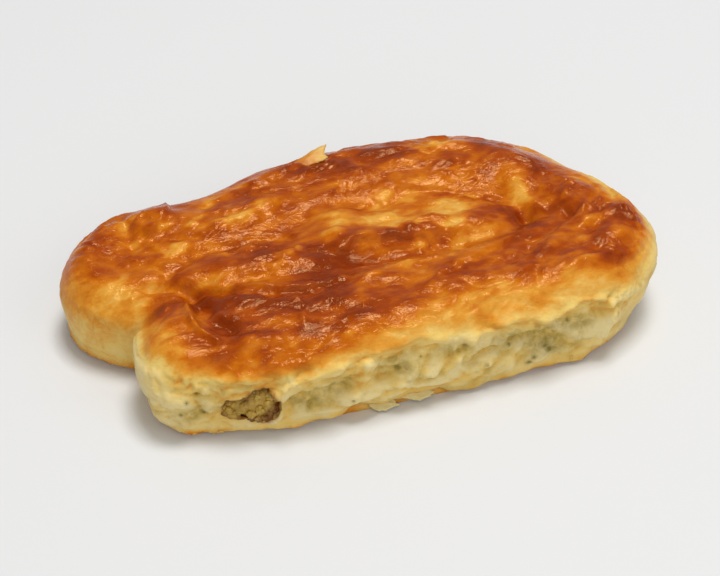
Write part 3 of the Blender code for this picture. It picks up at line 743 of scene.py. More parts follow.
def spots(points, table, sharpness=2):
    """The sum of turned oval spots, given as x, y, half length, half width, turn and amount."""
    total = np.zeros(len(points))
    for x, y, half_length, half_width, turn, amount in table:
        angle = math.radians(turn)
        dx, dy = points[:, 0] - x, points[:, 1] - y
        along = (dx * math.cos(angle) + dy * math.sin(angle)) / half_length
        across = (dy * math.cos(angle) - dx * math.sin(angle)) / half_width
        total += amount * np.exp(-((along**2 + across**2) ** (sharpness / 2)))
    return total


def waves(columns, offset):
    """Smooth noise between about -1 and 1 at points given as three columns.

    The offset picks a place in the noise, so that one use doesn't follow another.
    """
    x, y, z = columns
    return np.array([noise.noise(Vector(p)) for p in zip(x + offset, y - offset, z + 2 * offset)]) * 1.6


def patches(places, size, offset):
    """The same noise in patches of a size that is given in x, y and z."""
    return waves(places.T / np.array(size)[:, None], offset)


def waves_along(along, size, offset):
    """The same noise, changing along the rope only."""
    return waves((along / size, along * 0, along * 0), offset)


def rope_coordinates(points):
    """How far along the rope and to its side each point lies, and 0 at a seam to 1 well inside a strand."""
    rings = rings_along(ROPE)
    centres = np.array([ring.centre[:2] for ring in rings])
    directions = np.array([ring.direction[:2] for ring in rings])
    runs = np.concatenate([[0], np.cumsum(np.linalg.norm(np.diff(centres, axis=0), axis=1))])
    away = np.sqrt(((points[:, None, :2] - centres[None]) ** 2).sum(axis=2))
    nearest = np.argmin(away, axis=1)
    offset = points[:, :2] - centres[nearest]
    along = runs[nearest] + (offset * directions[nearest]).sum(axis=1)
    across = offset[:, 0] * directions[nearest, 1] - offset[:, 1] * directions[nearest, 0]
    other = np.where(np.abs(runs[None] - along[:, None]) > SEAM_RUN, away, np.inf).min(axis=1)
    return along, across, smooth_share(other - away.min(axis=1), 0.5, SEAM_REACH)


def wrinkles(points, along, across):
    """Long soft wrinkles that run with the rope."""
    height = np.zeros(len(points))
    for length, width, rise in WRINKLES:
        height += [
            rise * noise.noise(Vector((s / length, t / width, z / width)))
            for s, t, z in zip(along, across, points[:, 2])
        ]
    return height


def lumps(points, size, rise):
    """Soft lumps of one size."""
    return np.array([rise * noise.noise(Vector(point) / size) for point in points])


def crinkles(points, along, across):
    """Pillows of skin with sharp creases between them, a little drawn out along the rope."""
    z = points[:, 2]
    strand = np.stack([along, across, z], 1)
    drift, sway = (amount * patches(strand, size, offset) for amount, size, offset in CRINKLE_SHIFTS)
    along, across = along + drift, across + sway
    height = np.zeros(len(points))
    for number, (length, width, rise, degrees) in enumerate(CRINKLES):
        turn = math.radians(degrees)
        run = along * math.cos(turn) + across * math.sin(turn)
        rest = across * math.cos(turn) - along * math.sin(turn)
        field = waves((run / length, rest / width, z / width), 3.7 * number)
        field = np.minimum(np.sqrt(field**2 + CRINKLE_SOFTNESS), CRINKLE_TOP)
        # The middle size is turned over: thin raised folds with flat hollows between them.
        height += rise * (CRINKLE_LEVEL - field if number == 1 else field - CRINKLE_LEVEL)
    return height


def thin_creases(along, across):
    """Many short fine folds that run roughly with the rope, by a seeded draw."""
    draw = random.Random(CREASE_SEED)
    height = np.zeros(len(along))
    last = along.max()
    for _ in range(CREASE_COUNT):
        start, side = draw.uniform(0, last), draw.uniform(-CREASE_SIDE, CREASE_SIDE)
        length, drift = draw.uniform(*CREASE_LENGTH), draw.uniform(-CREASE_DRIFT, CREASE_DRIFT)
        bow, width = draw.uniform(-CREASE_BOW, CREASE_BOW), draw.uniform(*CREASE_WIDTH)
        rise = draw.choice((1, 1, -1)) * draw.uniform(*CREASE_HEIGHT)
        near = (along > start - 2) & (along < start + length + 2)
        share = (along[near] - start) / length
        line = side + drift * share + bow * np.sin(math.pi * np.clip(share, 0, 1))
        fade = smooth_share(share, -0.1, 0.25) * (1 - smooth_share(share, 0.7, 1.1))
        height[near] += rise * fade * bell(across[near] - line, width)
    return height


def shape_crust(mesh):
    """Lays folds, wrinkles, blisters and crinkles on the coil, and finishes its foot and underside."""
    places, normals = coordinates(mesh)
    x, y = places[:, 0], places[:, 1]
    along, across, inside_strand = rope_coordinates(places)
    top, side, front, under = facings(normals)
    lively = np.clip(LIVELY_MEAN + LIVELY_SWING * patches(places, LIVELY_PATCH, 9.3), *LIVELY_LIMITS)
    lively = lively * (1 - spots(places[:, :2], CALM))
    detail = inside_strand * lively * crinkles(places, along, across)
    detail += inside_strand * thin_creases(along, across)
    warp = BLISTER_WARP * np.stack([patches(places, size, offset) for size, offset in BLISTER_NOISE], 1)
    blisters = spots(places[:, :2] + warp, BLISTERS, 3)
    lift = folds(places[:, :2], TOP_FOLDS) + layer_edges(places[:, :2] + 0.5 * warp, LAYER_EDGES)
    lift += inside_strand * wrinkles(places, along, across)
    places[:, 2] += top * np.maximum(lift + detail + blisters, -DEEPEST_HOLLOW)
    lobe_side = smooth_share(-x, 55, 62) * smooth_share(y, -8, -2)
    lively_side = 1 - LOBE_CALM * lobe_side - RIGHT_END_CALM * smooth_share(x, 62, 70)
    outwards = front * folds(wavered(places[:, [0, 2]]), SIDE_FOLDS)
    outwards += side * lively_side * lumps(places, LUMP_SIZE, LUMP_HEIGHT)
    dough = lively_side * puffs(places, along)
    outwards += side * dough
    outwards += foot_ledge(places, along, side)
    places += normals * outwards[:, None]
    places[:, 2] += under * underside_relief(places)
    places[:, 2] = np.maximum(places[:, 2], 0)
    move_points(mesh, places)
    # Blisters count against the relief, so that the crust is painted paler on them: a painted highlight.
    set_attribute(mesh, "relief", top * (detail - 1.5 * blisters))
    set_attribute(mesh, "dough", side * dough)


def puffs(places, along):
    """Soft swellings of the pale dough with folds between them."""
    z = places[:, 2]
    middle = smooth_share(z, 2, 5) * (1 - smooth_share(z, 19, 24))
    sway = PUFF_SWAY * waves((along / 6, z / 5, z * 0), 3.3)
    height = np.zeros(len(z))
    for length, tall, sway_along, sway_up, flat, swell, offset in PUFFS:
        field = waves(((along + sway_along * sway) / length, (z + sway_up * sway) / tall, z * 0), offset)
        height += swell * np.minimum(np.abs(field), flat)
    return middle * (height - PUFF_FOLD)


def foot_ledge(places, along, side):
    """A ragged ledge of thin layers just above the table, drawn in below."""
    z = places[:, 2]
    uneven = waves_along(along, 10, 1.3) + 0.5 * waves_along(along, 3.5, 4.3)
    height = LEDGE_HEIGHT + LEDGE_RAGGED * waves_along(along, 8, 7.3)
    ledge = bell(z - height, LEDGE_THICKNESS) * (LEDGE_OUT + LEDGE_UNEVEN * uneven)
    drawn_in = -FOOT_DRAWN_IN * (1 - smooth_share(z, 0.5, 1.7))
    upper = bell(z - height - LAYER_ABOVE, LAYER_THICKNESS) * np.maximum(waves_along(along, 13, 5.5), 0)
    return side * (ledge + drawn_in + upper)


def underside_relief(places):
    """The seams between the strands and a few trapped bubbles, as hollows in the flat underside."""
    x, y = places[:, 0], places[:, 1]
    seam_depth, seam_width = UNDER_SEAM
    seam = np.zeros(len(x))
    for bridge in BRIDGES:
        path = [station[:2] for station in bridge]
        seam += seam_depth * bell(distance_to_path(places[:, :2], path), seam_width)
    bubbles = waves((x / BUBBLE_SIZE, y / BUBBLE_SIZE, x * 0), 2.4)
    return seam + BUBBLE_DEPTH * np.clip(bubbles - BUBBLE_SCARCITY, 0, 1)


def brown_edge(places):
    """Height and softness of the edge between browned top and pale side, nearest each point."""
    total = np.zeros(len(places))
    height = np.zeros(len(places))
    softness = np.zeros(len(places))
    for x, y, edge, soft in BROWN_EDGE:
        weight = 1 / ((places[:, 0] - x) ** 2 + (places[:, 1] - y) ** 2 + EDGE_BLEND) ** 2
        total += weight
        height += weight * edge
        softness += weight * soft
    return height / total, softness / total


def tear_depth(places):
    """Below 1 inside the torn hole, 1 on its rim, more outside."""
    nearest = np.full(len(places), np.inf)
    for middle, half in TEARS:
        offset = (places - np.array(middle)) / np.array(half)
        nearest = np.minimum(nearest, np.linalg.norm(offset, axis=1))
    return nearest


def hole_rim(places):
    """Like the tear's depth, but seen from the front, whatever a point's distance from the surface."""
    flat = np.array(places)
    flat[:, 1] = HOLE[1]
    return tear_depth(flat)


def filling_singe(places):
    """How browned the filling is: most at the hole's rim and low on its right."""
    rim = hole_rim(places)
    low_right = smooth_share(places[:, 0] + 1.2 * (10 - places[:, 2]), -38.5, -34.5)
    return np.clip(FILLING_SINGE * (smooth_share(rim, 0.66, 1.0) + low_right * (rim < 1.1)), 0, 1)


def crust_toast(mesh, places, along, on_top, below_edge, lobe, under):
    """How browned each point of the pastry is: its top, its side, the foot and the underside, with painted
    highlights on the blisters, painted light and shade on the side's puffs and folds and painted shade low on
    the foot.
    """
    x, y, z = places.T
    relief, dough = stored(mesh, "relief"), stored(mesh, "dough")
    # Raised crinkles brown more; blisters count against the relief and are painted paler, a painted
    # highlight.
    browned = TOP_TOAST + spots(places[:, :2], BROWNED) + RAISED_TOAST_AND_HIGHLIGHT * np.clip(relief, -1.5, 0.8)
    for amount, size, offset in TOP_MOTTLE:
        browned += amount * np.tanh(2 * patches(places, size, offset))
    pale = SIDE_TOAST + EDGE_TOAST * (1 - smooth_share(below_edge, 0, 14)) + LOBE_TOAST * lobe
    # Puffs of the side are painted paler and the folds between them darker: painted light and painted shade.
    pale += 0.05 * patches(places, (6, 6, 5), 1.7) - PUFF_PAINTED_LIGHT_AND_SHADE * np.clip(dough, -0.8, 0.7)
    toast = pale + (np.maximum(browned, LEAST_TOP_TOAST) - pale) * on_top
    # The band low on the foot is its golden-brown rim and also painted shade just above the table.
    foot = bell(z - 0.9, 1.5) * (0.75 + 0.45 * waves((along / 5, z / 2, x * 0), 2.2))
    left_end = smooth_share(-x, 42, 56)
    toast += (FOOT_TOAST_AND_SHADE + FOOT_END_TOAST * left_end) * np.clip(foot, 0, 1) * (under == 0)
    return toast + under * (UNDER_TOAST + 0.12 * waves((x / 12, y / 12, z * 0), 3.3) - toast) * 0.8


def filling_seen_and_shade(mesh, places, front, side, lobe):
    """How far the filling shows through the thin pale side, with painted shade in recesses and painted light
    on puffs.
    """
    dough = stored(mesh, "dough")
    table = [(x_place, z_place, *half, 0, amount) for x_place, z_place, *half, amount in SHOW_THROUGH_AND_SHADE]
    show_and_shade = spots(places[:, [0, 2]], table, 3) * front
    # The filling shows more in the folds between puffs and less on them: painted shade and painted light.
    dim = np.clip(patches(places, (8, 8, 5), 4.7) - 0.6 * np.clip(dough, -1, 1), 0, 1)
    show_and_shade += DIM_SHOW * side * dim * (1 - lobe)
    return show_and_shade - PUFF_PAINTED_LIGHT * np.clip(dough, 0, 1) * front


def paint_crust(mesh):
    """Writes how browned, see-through, speckled, singed, glazed and flaky each point of the pastry is, with
    painted light and shade in the browning and the see-through.
    """
    places, normals = coordinates(mesh)
    along, _, _ = rope_coordinates(places)
    x, y, z = places.T
    height, softness = brown_edge(places)
    ragged = 0.9 * waves((along / 8, z / 30, z * 0), 8.8) + 0.3 * waves((along / 2.4, z / 8, z * 0), 3.1)
    on_top = smooth_share((z - height + ragged) / softness, -1.4, 1.6)
    _, _, _, under = facings(normals)
    lobe = smooth_share(-x, 58, 66) * smooth_share(y, -6, 2)
    toast = crust_toast(mesh, places, along, on_top, height - z, lobe, under)
    front = smooth_share(-normals[:, 1], 0.2, 0.6) * (1 - on_top)
    show_and_shade = filling_seen_and_shade(mesh, places, front, (1 - on_top) * (1 - under), lobe)
    specks = np.zeros(len(x))
    for x_place, z_place, size in HERB_SPECKS:
        away = np.hypot(x - x_place, z - z_place)
        specks = np.maximum(specks, bell(away, size) * front)
    depth = tear_depth(places)
    singe = np.maximum(bell(depth - RIM_AT, RIM_WIDTH), WALL_SINGE * smooth_share(1.02 - depth, 0, 0.1))
    set_attribute(mesh, "toast", np.clip(toast, 0, 1))
    set_attribute(mesh, "show_through", np.clip(show_and_shade, 0, 1))
    set_attribute(mesh, "specks", specks)
    set_attribute(mesh, "singe", singe * (y < SINGE_BACK))
    level = SLOPE_GLAZE + (1 - SLOPE_GLAZE) * smooth_share(normals[:, 2], 0.35, 0.8)
    set_attribute(mesh, "glazed", on_top * level * (1 - under))
    set_attribute(mesh, "flaky", crumb_places(places, depth))


def crumb_places(places, depth):
    """Where small skins come loose: along the foot, but not round the torn hole."""
    z = places[:, 2]
    foot = smooth_share(z, 0.8, 1.6) * (1 - smooth_share(z, 3.0, 4.5))
    return foot * (depth > 1.4)


def thin_underside(obj):
    """Leaves few faces on the flat underside, which shows least."""
    _, normals = coordinates(obj.data)
    group = obj.vertex_groups.new(name="underside")
    under = np.nonzero(normals[:, 2] < UNDERSIDE_FACING)[0]
    group.add(under.tolist(), 1.0, "REPLACE")
    thin = obj.modifiers.new("thin", "DECIMATE")
    thin.vertex_group = "underside"
    thin.ratio = 1 - (1 - UNDERSIDE_SHARE) * len(under) / len(normals)
    apply_modifiers(obj)
    obj.vertex_groups.clear()


def cut_underside(mesh):
    """Cuts the coil flat at the table and keeps its largest shell."""
    bm = bmesh.new()
    bm.from_mesh(mesh)
    geom = bm.verts[:] + bm.edges[:] + bm.faces[:]
    cut = bmesh.ops.bisect_plane(
        bm, geom=geom, plane_co=(0, 0, 0), plane_no=(0, 0, 1), clear_inner=True, dist=1e-6
    )
    edges = [e for e in cut["geom_cut"] if isinstance(e, bmesh.types.BMEdge)]
    bmesh.ops.holes_fill(bm, edges=edges, sides=0)
    unseen = set(bm.verts)
    shells = []
    while unseen:
        shell = []
        rim = [unseen.pop()]
        while rim:
            vert = rim.pop()
            shell.append(vert)
            beside = {edge.other_vert(vert) for edge in vert.link_edges} & unseen
            unseen -= beside
            rim += beside
        shells.append(shell)
    for shell in sorted(shells, key=len)[:-1]:
        bmesh.ops.delete(bm, geom=shell, context="VERTS")
    bmesh.ops.triangulate(bm, faces=[f for f in bm.faces if len(f.verts) > 4])
    bm.to_mesh(mesh)
    bm.free()


def add_ball(bm, middle, half, ragged=0.0, number=0):
    """An oval ball at its place, with a surface as ragged as asked."""
    for vert in bmesh.ops.create_icosphere(bm, subdivisions=4, radius=1.0)["verts"]:
        swell = 1 + ragged * noise.noise(vert.co * 2.6 + Vector((number, 0, 0)))
        swell += ragged * 0.6 * noise.noise(vert.co * 6.5)
        for axis in range(3):
            vert.co[axis] = (vert.co[axis] * swell * half[axis] + middle[axis] - MIDDLE[axis]) * MM


def filling_rod(name, voxel):
    """The filling as one rod through the rope, with soft lumps, swollen out behind the torn hole."""
    bm = bmesh.new()
    add_strand(bm, rings_along(ROPE, WALL, FLOOR, LID))
    for middle, half in SWELLINGS:
        add_ball(bm, middle, half)
    rod = add_object(name, mesh_from(name, bm))
    fuse(rod, voxel, FILLING_SMOOTH)
    places, normals = coordinates(rod.data)
    places += normals * lumps(places, LUMP_SIZE, LUMP_HEIGHT)[:, None]
    move_points(rod.data, places)
    return rod


def cavity_cutter():
    """The space inside the pastry, with the torn hole that opens it."""
    cutter = filling_rod("cavity", CAVITY_VOXEL)
    places, normals = coordinates(cutter.data)
    move_points(cutter.data, places + normals * GAP)
    for number, (middle, half) in enumerate(TEARS):
        bm = bmesh.new()
        add_ball(bm, middle, half, TEAR_RAGGED, number)
        combine(cutter, "UNION", add_object(f"tear_{number}", mesh_from(f"tear_{number}", bm)))
    return cutter


def skin_mesh(number, corners, thickness, bulge):
    """A loose skin: a thin curled sheet with a wavy surface, closed all round."""
    bm = bmesh.new()
    middle = Vector(MIDDLE)
    upper = [bm.verts.new((Vector(corner) - middle) * MM) for corner in corners]
    poked = bmesh.ops.poke(bm, faces=[bm.faces.new(upper)])
    poked["verts"][0].co.z += bulge * MM
    bmesh.ops.subdivide_edges(bm, edges=bm.edges[:], cuts=SKIN_CUTS, use_grid_fill=True, smooth=0.15)
    bmesh.ops.triangulate(bm, faces=bm.faces[:])
    for vert in bm.verts:
        spot = vert.co / MM
        vert.co.z += SKIN_WAVE * MM * noise.noise(spot * 0.55 + Vector((number * 5, 0, 0)))
        vert.co.x += SKIN_RAGGED * MM * noise.noise(spot * 1.3 + Vector((0, number * 3, 0)))
        vert.co.y += SKIN_RAGGED * MM * noise.noise(spot * 1.3 + Vector((0, 0, number * 3)))
    bmesh.ops.recalc_face_normals(bm, faces=bm.faces)
    if sum(face.normal.z for face in bm.faces) < 0:
        bmesh.ops.reverse_faces(bm, faces=bm.faces[:])
    under = bmesh.ops.duplicate(bm, geom=bm.verts[:] + bm.edges[:] + bm.faces[:])["geom"]
    for vert in (item for item in under if isinstance(item, bmesh.types.BMVert)):
        vert.co.z -= thickness * MM
    bmesh.ops.reverse_faces(bm, faces=[item for item in under if isinstance(item, bmesh.types.BMFace)])
    rims = [edge for edge in bm.edges if len(edge.link_faces) == 1]
    bmesh.ops.bridge_loops(bm, edges=rims)
    bmesh.ops.recalc_face_normals(bm, faces=bm.faces)
    return mesh_from(f"loose_skin_{number}", bm)


def add_node(tree, kind, **values):
    """A node with its settings."""
    node = tree.nodes.new(kind)
    for key, value in values.items():
        setattr(node, key, value)
    return node


def put(node, **inputs):
    """Sets inputs by name, with spaces written as underscores."""
    for key, value in inputs.items():
        node.inputs[key.replace("_", " ")].default_value = value
    return node


def math_node(tree, operation, first, second=None, third=None, clamp=False):
    """One step of arithmetic on sockets or numbers."""
    node = add_node(tree, "ShaderNodeMath", operation=operation, use_clamp=clamp)
    for socket, value in zip(node.inputs, (first, second, third)):
        if isinstance(value, bpy.types.NodeSocket):
            tree.links.new(value, socket)
        elif value is not None:
            socket.default_value = value
    return node.outputs[0]


def noise_node(tree, vector, scale, detail=2.0, rough=0.5, distortion=0.0):
    """Noise between 0 and 1, whose scale counts its waves to the metre."""
    node = add_node(tree, "ShaderNodeTexNoise")
    put(node, Scale=scale, Detail=detail, Roughness=rough, Distortion=distortion)
    tree.links.new(vector, node.inputs["Vector"])
    return node.outputs["Fac"]


def mix_colours(tree, share, first, second):
    """The first colour going over to the second as the share grows."""
    node = add_node(tree, "ShaderNodeMix", data_type="RGBA")
    sockets = (node.inputs[0], node.inputs[6], node.inputs[7])
    for socket, value in zip(sockets, (share, first, second)):
        if isinstance(value, bpy.types.NodeSocket):
            tree.links.new(value, socket)
        elif isinstance(value, (int, float)):
            socket.default_value = value
        else:
            socket.default_value = (*value[:3], 1.0)
    return node.outputs[2]


def attribute(tree, name):
    """A number that set_attribute wrote to the points of the mesh."""
    return add_node(tree, "ShaderNodeAttribute", attribute_name=name).outputs["Fac"]


def shader_group(name, inputs, outputs):
    """An empty shader group with its sockets, given as (name, type, default) and (name, type)."""
    group = bpy.data.node_groups.new(name, "ShaderNodeTree")
    for label, kind, default in inputs:
        socket = group.interface.new_socket(label, in_out="INPUT", socket_type=kind)
        if default is not None:
            socket.default_value = default
    for label, kind in outputs:
        group.interface.new_socket(label, in_out="OUTPUT", socket_type=kind)
    return group, group.nodes.new("NodeGroupInput"), group.nodes.new("NodeGroupOutput")


def oven_mottle():
    """Uneven baking: a share moved up and down by streaked noise, whose size counts waves to the metre."""
    name = "oven mottle"
    if name in bpy.data.node_groups:
        return bpy.data.node_groups[name]
    number = "NodeSocketFloat"
    group, given, result = shader_group(
        name,
        (
            ("Vector", "NodeSocketVector", None), ("Share", number, 0.5), ("Size", number, 300.0),
            ("Amount", number, 0.2),
        ),
        (("Share", number),),
    )
    stretch = add_node(group, "ShaderNodeMapping")
    put(stretch, Scale=(0.55, 1.0, 0.9))
    group.links.new(given.outputs["Vector"], stretch.inputs["Vector"])
    field = add_node(group, "ShaderNodeTexNoise")
    put(field, Detail=5.0, Roughness=0.62, Distortion=0.6)
    group.links.new(stretch.outputs[0], field.inputs["Vector"])
    group.links.new(given.outputs["Size"], field.inputs["Scale"])
    moved = math_node(group, "SUBTRACT", field.outputs["Fac"], 0.5)
    moved = math_node(group, "MULTIPLY", moved, given.outputs["Amount"])
    moved = math_node(group, "ADD", moved, given.outputs["Share"], clamp=True)
    group.links.new(moved, result.inputs["Share"])
    return group


def skin_grain():
    """Fine relief of baked skin: tight crinkles in two sizes and pores, as a height."""
    name = "skin grain"
    if name in bpy.data.node_groups:
        return bpy.data.node_groups[name]
    number = "NodeSocketFloat"
    group, given, result = shader_group(
        name,
        (("Vector", "NodeSocketVector", None), ("Crinkle", number, 1.0), ("Pores", number, 0.3)),
        (("Height", number),),
    )
    stretch = add_node(group, "ShaderNodeMapping")
    put(stretch, Scale=(0.6, 1.0, 0.8))
    group.links.new(given.outputs["Vector"], stretch.inputs["Vector"])
    ridged = 0.0
    for scale, amount in ((430, 3.0), (1000, 0.9)):
        field = noise_node(group, stretch.outputs[0], scale, 3, 0.55, 0.8)
        field = math_node(group, "ABSOLUTE", math_node(group, "SUBTRACT", field, 0.5))
        ridged = math_node(group, "MULTIPLY_ADD", field, amount, ridged)
    ridged = math_node(group, "MULTIPLY", ridged, given.outputs["Crinkle"])
    pores = noise_node(group, given.outputs["Vector"], 2600, 2, 0.5)
    pores = math_node(group, "MULTIPLY", pores, given.outputs["Pores"])
    group.links.new(math_node(group, "ADD", ridged, pores), result.inputs["Height"])
    return group


def use_group(tree, group, **inputs):
    """Places a shader group in a material, with its own values."""
    node = add_node(tree, "ShaderNodeGroup", node_tree=group)
    for key, value in inputs.items():
        if isinstance(value, bpy.types.NodeSocket):
            tree.links.new(value, node.inputs[key])
        else:
            node.inputs[key].default_value = value
    return node.outputs[0]


def new_material(name):
    """A material, its nodes, its shader and the coordinates of the piece."""
    material = bpy.data.materials.new(name)
    material.use_nodes = True
    tree = material.node_tree
    shader = tree.nodes["Principled BSDF"]
    place = add_node(tree, "ShaderNodeTexCoord").outputs["Object"]
    return material, tree, shader, place


def bump(tree, shader, height, distance, strength):
    """Fine relief that feeds the normals of the shader and of its coat."""
    node = put(add_node(tree, "ShaderNodeBump"), Strength=strength, Distance=distance)
    tree.links.new(height, node.inputs["Height"])
    tree.links.new(node.outputs[0], shader.inputs["Normal"])
    tree.links.new(node.outputs[0], shader.inputs["Coat Normal"])


def colour_ramp(tree, share, stops):
    """Colours along a share, given as (position, colour)."""
    node = add_node(tree, "ShaderNodeValToRGB")
    ramp = node.color_ramp
    while len(ramp.elements) < len(stops):
        ramp.elements.new(0.5)
    for element, (position, colour) in zip(ramp.elements, stops):
        element.position = position
        element.color = (*colour[:3], 1.0)
    tree.links.new(share, node.inputs[0])
    return node.outputs[0]


def let_light_in(shader, weight):
    """Lets light into moist dough or filling, red the deepest."""
    put(shader, Subsurface_Weight=weight, Subsurface_Scale=0.002, Subsurface_Radius=(1.0, 0.45, 0.18))


def crust_material(settings):
    """Baked pastry: browned and glazed on top, pale and matt at the sides, with the filling seen through and
    painted light and shade on the sides.
    """
    material, tree, shader, place = new_material("baked crust")
    toast = attribute(tree, "toast")
    for size, share in ((260.0, 1.0), (900.0, 0.8)):
        amount = settings.mottle * share
        toast = use_group(tree, oven_mottle(), Vector=place, Share=toast, Size=size, Amount=amount)
    colour = colour_ramp(tree, toast, (
        (0.00, settings.pale), (0.24, settings.cream), (0.42, settings.golden), (0.60, settings.amber),
        (0.80, settings.copper), (1.00, settings.brown),
    ))
    # The filling shows through in patches, however evenly the attribute runs. In the side's recesses and
    # folds this is also painted shade, and on its puffs painted light.
    patchy = noise_node(tree, place, 420, 4, 0.6, 0.5)
    patchy = math_node(tree, "MULTIPLY_ADD", patchy, 2.2, -0.5, clamp=True)
    show_and_shade = math_node(tree, "MULTIPLY", attribute(tree, "show_through"), patchy)
    colour = mix_colours(tree, show_and_shade, colour, settings.show_through)
    colour = mix_colours(tree, attribute(tree, "specks"), colour, settings.herb)
    colour = mix_colours(tree, attribute(tree, "singe"), colour, settings.singed)
    tree.links.new(colour, shader.inputs["Base Color"])
    # The glazed top has rougher and smoother patches, and the side is matt.
    glazed = attribute(tree, "glazed")
    rough = noise_node(tree, place, 700, 3, 0.6)
    rough = math_node(tree, "MULTIPLY_ADD", rough, 0.14, settings.roughness - 0.07)
    dull = math_node(tree, "MULTIPLY_ADD", glazed, -MATT_SIDE, MATT_SIDE)
    tree.links.new(math_node(tree, "ADD", rough, dull, clamp=True), shader.inputs["Roughness"])
    tree.links.new(math_node(tree, "MULTIPLY", glazed, settings.glaze), shader.inputs["Coat Weight"])
    put(shader, Coat_Roughness=0.10, Coat_IOR=1.45)
    put(shader, Specular_IOR_Level=settings.shine, Specular_Tint=(*settings.shine_colour, 1.0))
    height = use_group(tree, skin_grain(), Vector=place, Crinkle=1.0, Pores=0.10)
    bump(tree, shader, height, 0.00014, 1.0)
    return material


def skin_material(settings):
    """Loose skins and crumbs: thin dry pastry."""
    material, tree, shader, place = new_material("loose skin")
    toast = attribute(tree, "toast")
    share = use_group(tree, oven_mottle(), Vector=place, Share=toast, Size=320.0, Amount=0.3)
    colour = colour_ramp(tree, share, (
        (0.0, settings.pale), (0.35, settings.cream), (0.65, settings.golden), (1.0, settings.amber),
    ))
    tree.links.new(colour, shader.inputs["Base Color"])
    put(shader, Roughness=0.5)
    let_light_in(shader, 0.2)
    bump(tree, shader, use_group(tree, skin_grain(), Vector=place, Crinkle=0.7, Pores=0.3), 0.00015, 0.7)
    return material


def filling_material(settings):
    """Potato, cheese and herbs: moist, uneven and browned at the hole's rim."""
    material, tree, shader, place = new_material("moist filling")
    share = use_group(tree, oven_mottle(), Vector=place, Share=0.5, Size=240.0, Amount=1.5)
    colour = colour_ramp(tree, share, (
        (0.15, settings.shaded), (0.5, settings.base), (0.85, settings.curd),
    ))
    colour = mix_colours(tree, attribute(tree, "singe"), colour, settings.singed)
    tree.links.new(colour, shader.inputs["Base Color"])
    put(shader, Roughness=0.5, Specular_IOR_Level=0.3, Coat_Weight=0.08, Coat_Roughness=0.15)
    let_light_in(shader, 0.15)
    bump(tree, shader, noise_node(tree, place, 1500, 4, 0.6), 0.0003, 0.8)
    return material


def herb_material(settings):
    """Dark green chopped herbs."""
    material, tree, shader, place = new_material("chopped herb")
    share = use_group(tree, oven_mottle(), Vector=place, Share=0.5, Size=500.0, Amount=1.2)
    colour = colour_ramp(tree, share, ((0.2, settings.herb_dark), (0.8, settings.herb_light)))
    tree.links.new(colour, shader.inputs["Base Color"])
    put(shader, Roughness=0.45)
    bump(tree, shader, noise_node(tree, place, 2000, 2, 0.5), 0.0001, 0.6)
    return material


def floor_material(settings):
    """A plain pale table."""
    material, tree, shader, place = new_material("pale table")
    share = noise_node(tree, place, 3.0, 3, 0.5)
    lighter = tuple(min(1.0, value * 1.01) for value in settings.floor_colour)
    tree.links.new(mix_colours(tree, share, settings.floor_colour, lighter), shader.inputs["Base Color"])
    put(shader, Roughness=0.6, Specular_IOR_Level=0.2)
    return material


def geometry_tree(name, inputs):
    """An empty Geometry Nodes tree with named inputs, given as (name, type, default)."""
    tree = bpy.data.node_groups.new(name, "GeometryNodeTree")
    tree.interface.new_socket("Surface", in_out="INPUT", socket_type="NodeSocketGeometry")
    for label, kind, default in inputs:
        socket = tree.interface.new_socket(label, in_out="INPUT", socket_type=kind)
        if default is not None:
            socket.default_value = default
    tree.interface.new_socket("Scattered", in_out="OUTPUT", socket_type="NodeSocketGeometry")
    return tree, tree.nodes.new("NodeGroupInput"), tree.nodes.new("NodeGroupOutput")


def scatter_tree(name, make_item):
    """Scatters copies of one small item over a surface where its attribute allows, each turned and sized."""
    number, whole = "NodeSocketFloat", "NodeSocketInt"
    tree, given, result = geometry_tree(name, (
        ("Density", number, 1000.0), ("Size", number, 0.001), ("Smallest", number, 0.5),
        ("Sink", number, 0.0), ("Seed", whole, 1), ("Material", "NodeSocketMaterial", None),
    ))
    where = add_node(tree, "GeometryNodeInputNamedAttribute", data_type="FLOAT")
    put(where, Name="scatter")
    points = add_node(tree, "GeometryNodeDistributePointsOnFaces", distribute_method="RANDOM")
    density = math_node(tree, "MULTIPLY", where.outputs["Attribute"], given.outputs["Density"])
    tree.links.new(given.outputs["Surface"], points.inputs["Mesh"])
    tree.links.new(density, points.inputs["Density"])
    tree.links.new(given.outputs["Seed"], points.inputs["Seed"])
    copies = add_node(tree, "GeometryNodeInstanceOnPoints")
    tree.links.new(points.outputs["Points"], copies.inputs["Points"])
    tree.links.new(points.outputs["Rotation"], copies.inputs["Rotation"])
    tree.links.new(make_item(tree), copies.inputs["Instance"])
    size = add_node(tree, "FunctionNodeRandomValue", data_type="FLOAT")
    tree.links.new(given.outputs["Smallest"], size.inputs[2])
    size.inputs[3].default_value = 1.0
    tree.links.new(given.outputs["Seed"], size.inputs["Seed"])
    scaled = math_node(tree, "MULTIPLY", size.outputs[1], given.outputs["Size"])
    tree.links.new(scaled, copies.inputs["Scale"])
    turn = add_node(tree, "FunctionNodeRandomValue", data_type="FLOAT_VECTOR")
    turn.inputs[0].default_value = [-angle for angle in SCATTER_TURNS]
    turn.inputs[1].default_value = SCATTER_TURNS
    tree.links.new(given.outputs["Seed"], turn.inputs["Seed"])
    turned = add_node(tree, "GeometryNodeRotateInstances")
    tree.links.new(copies.outputs[0], turned.inputs["Instances"])
    tree.links.new(turn.outputs[0], turned.inputs["Rotation"])
    real = add_node(tree, "GeometryNodeRealizeInstances")
    tree.links.new(turned.outputs[0], real.inputs[0])
    finish = add_node(tree, "GeometryNodeSetMaterial")
    tree.links.new(real.outputs[0], finish.inputs["Geometry"])
    tree.links.new(given.outputs["Material"], finish.inputs["Material"])
    tree.links.new(finish.outputs[0], result.inputs[0])
    return tree


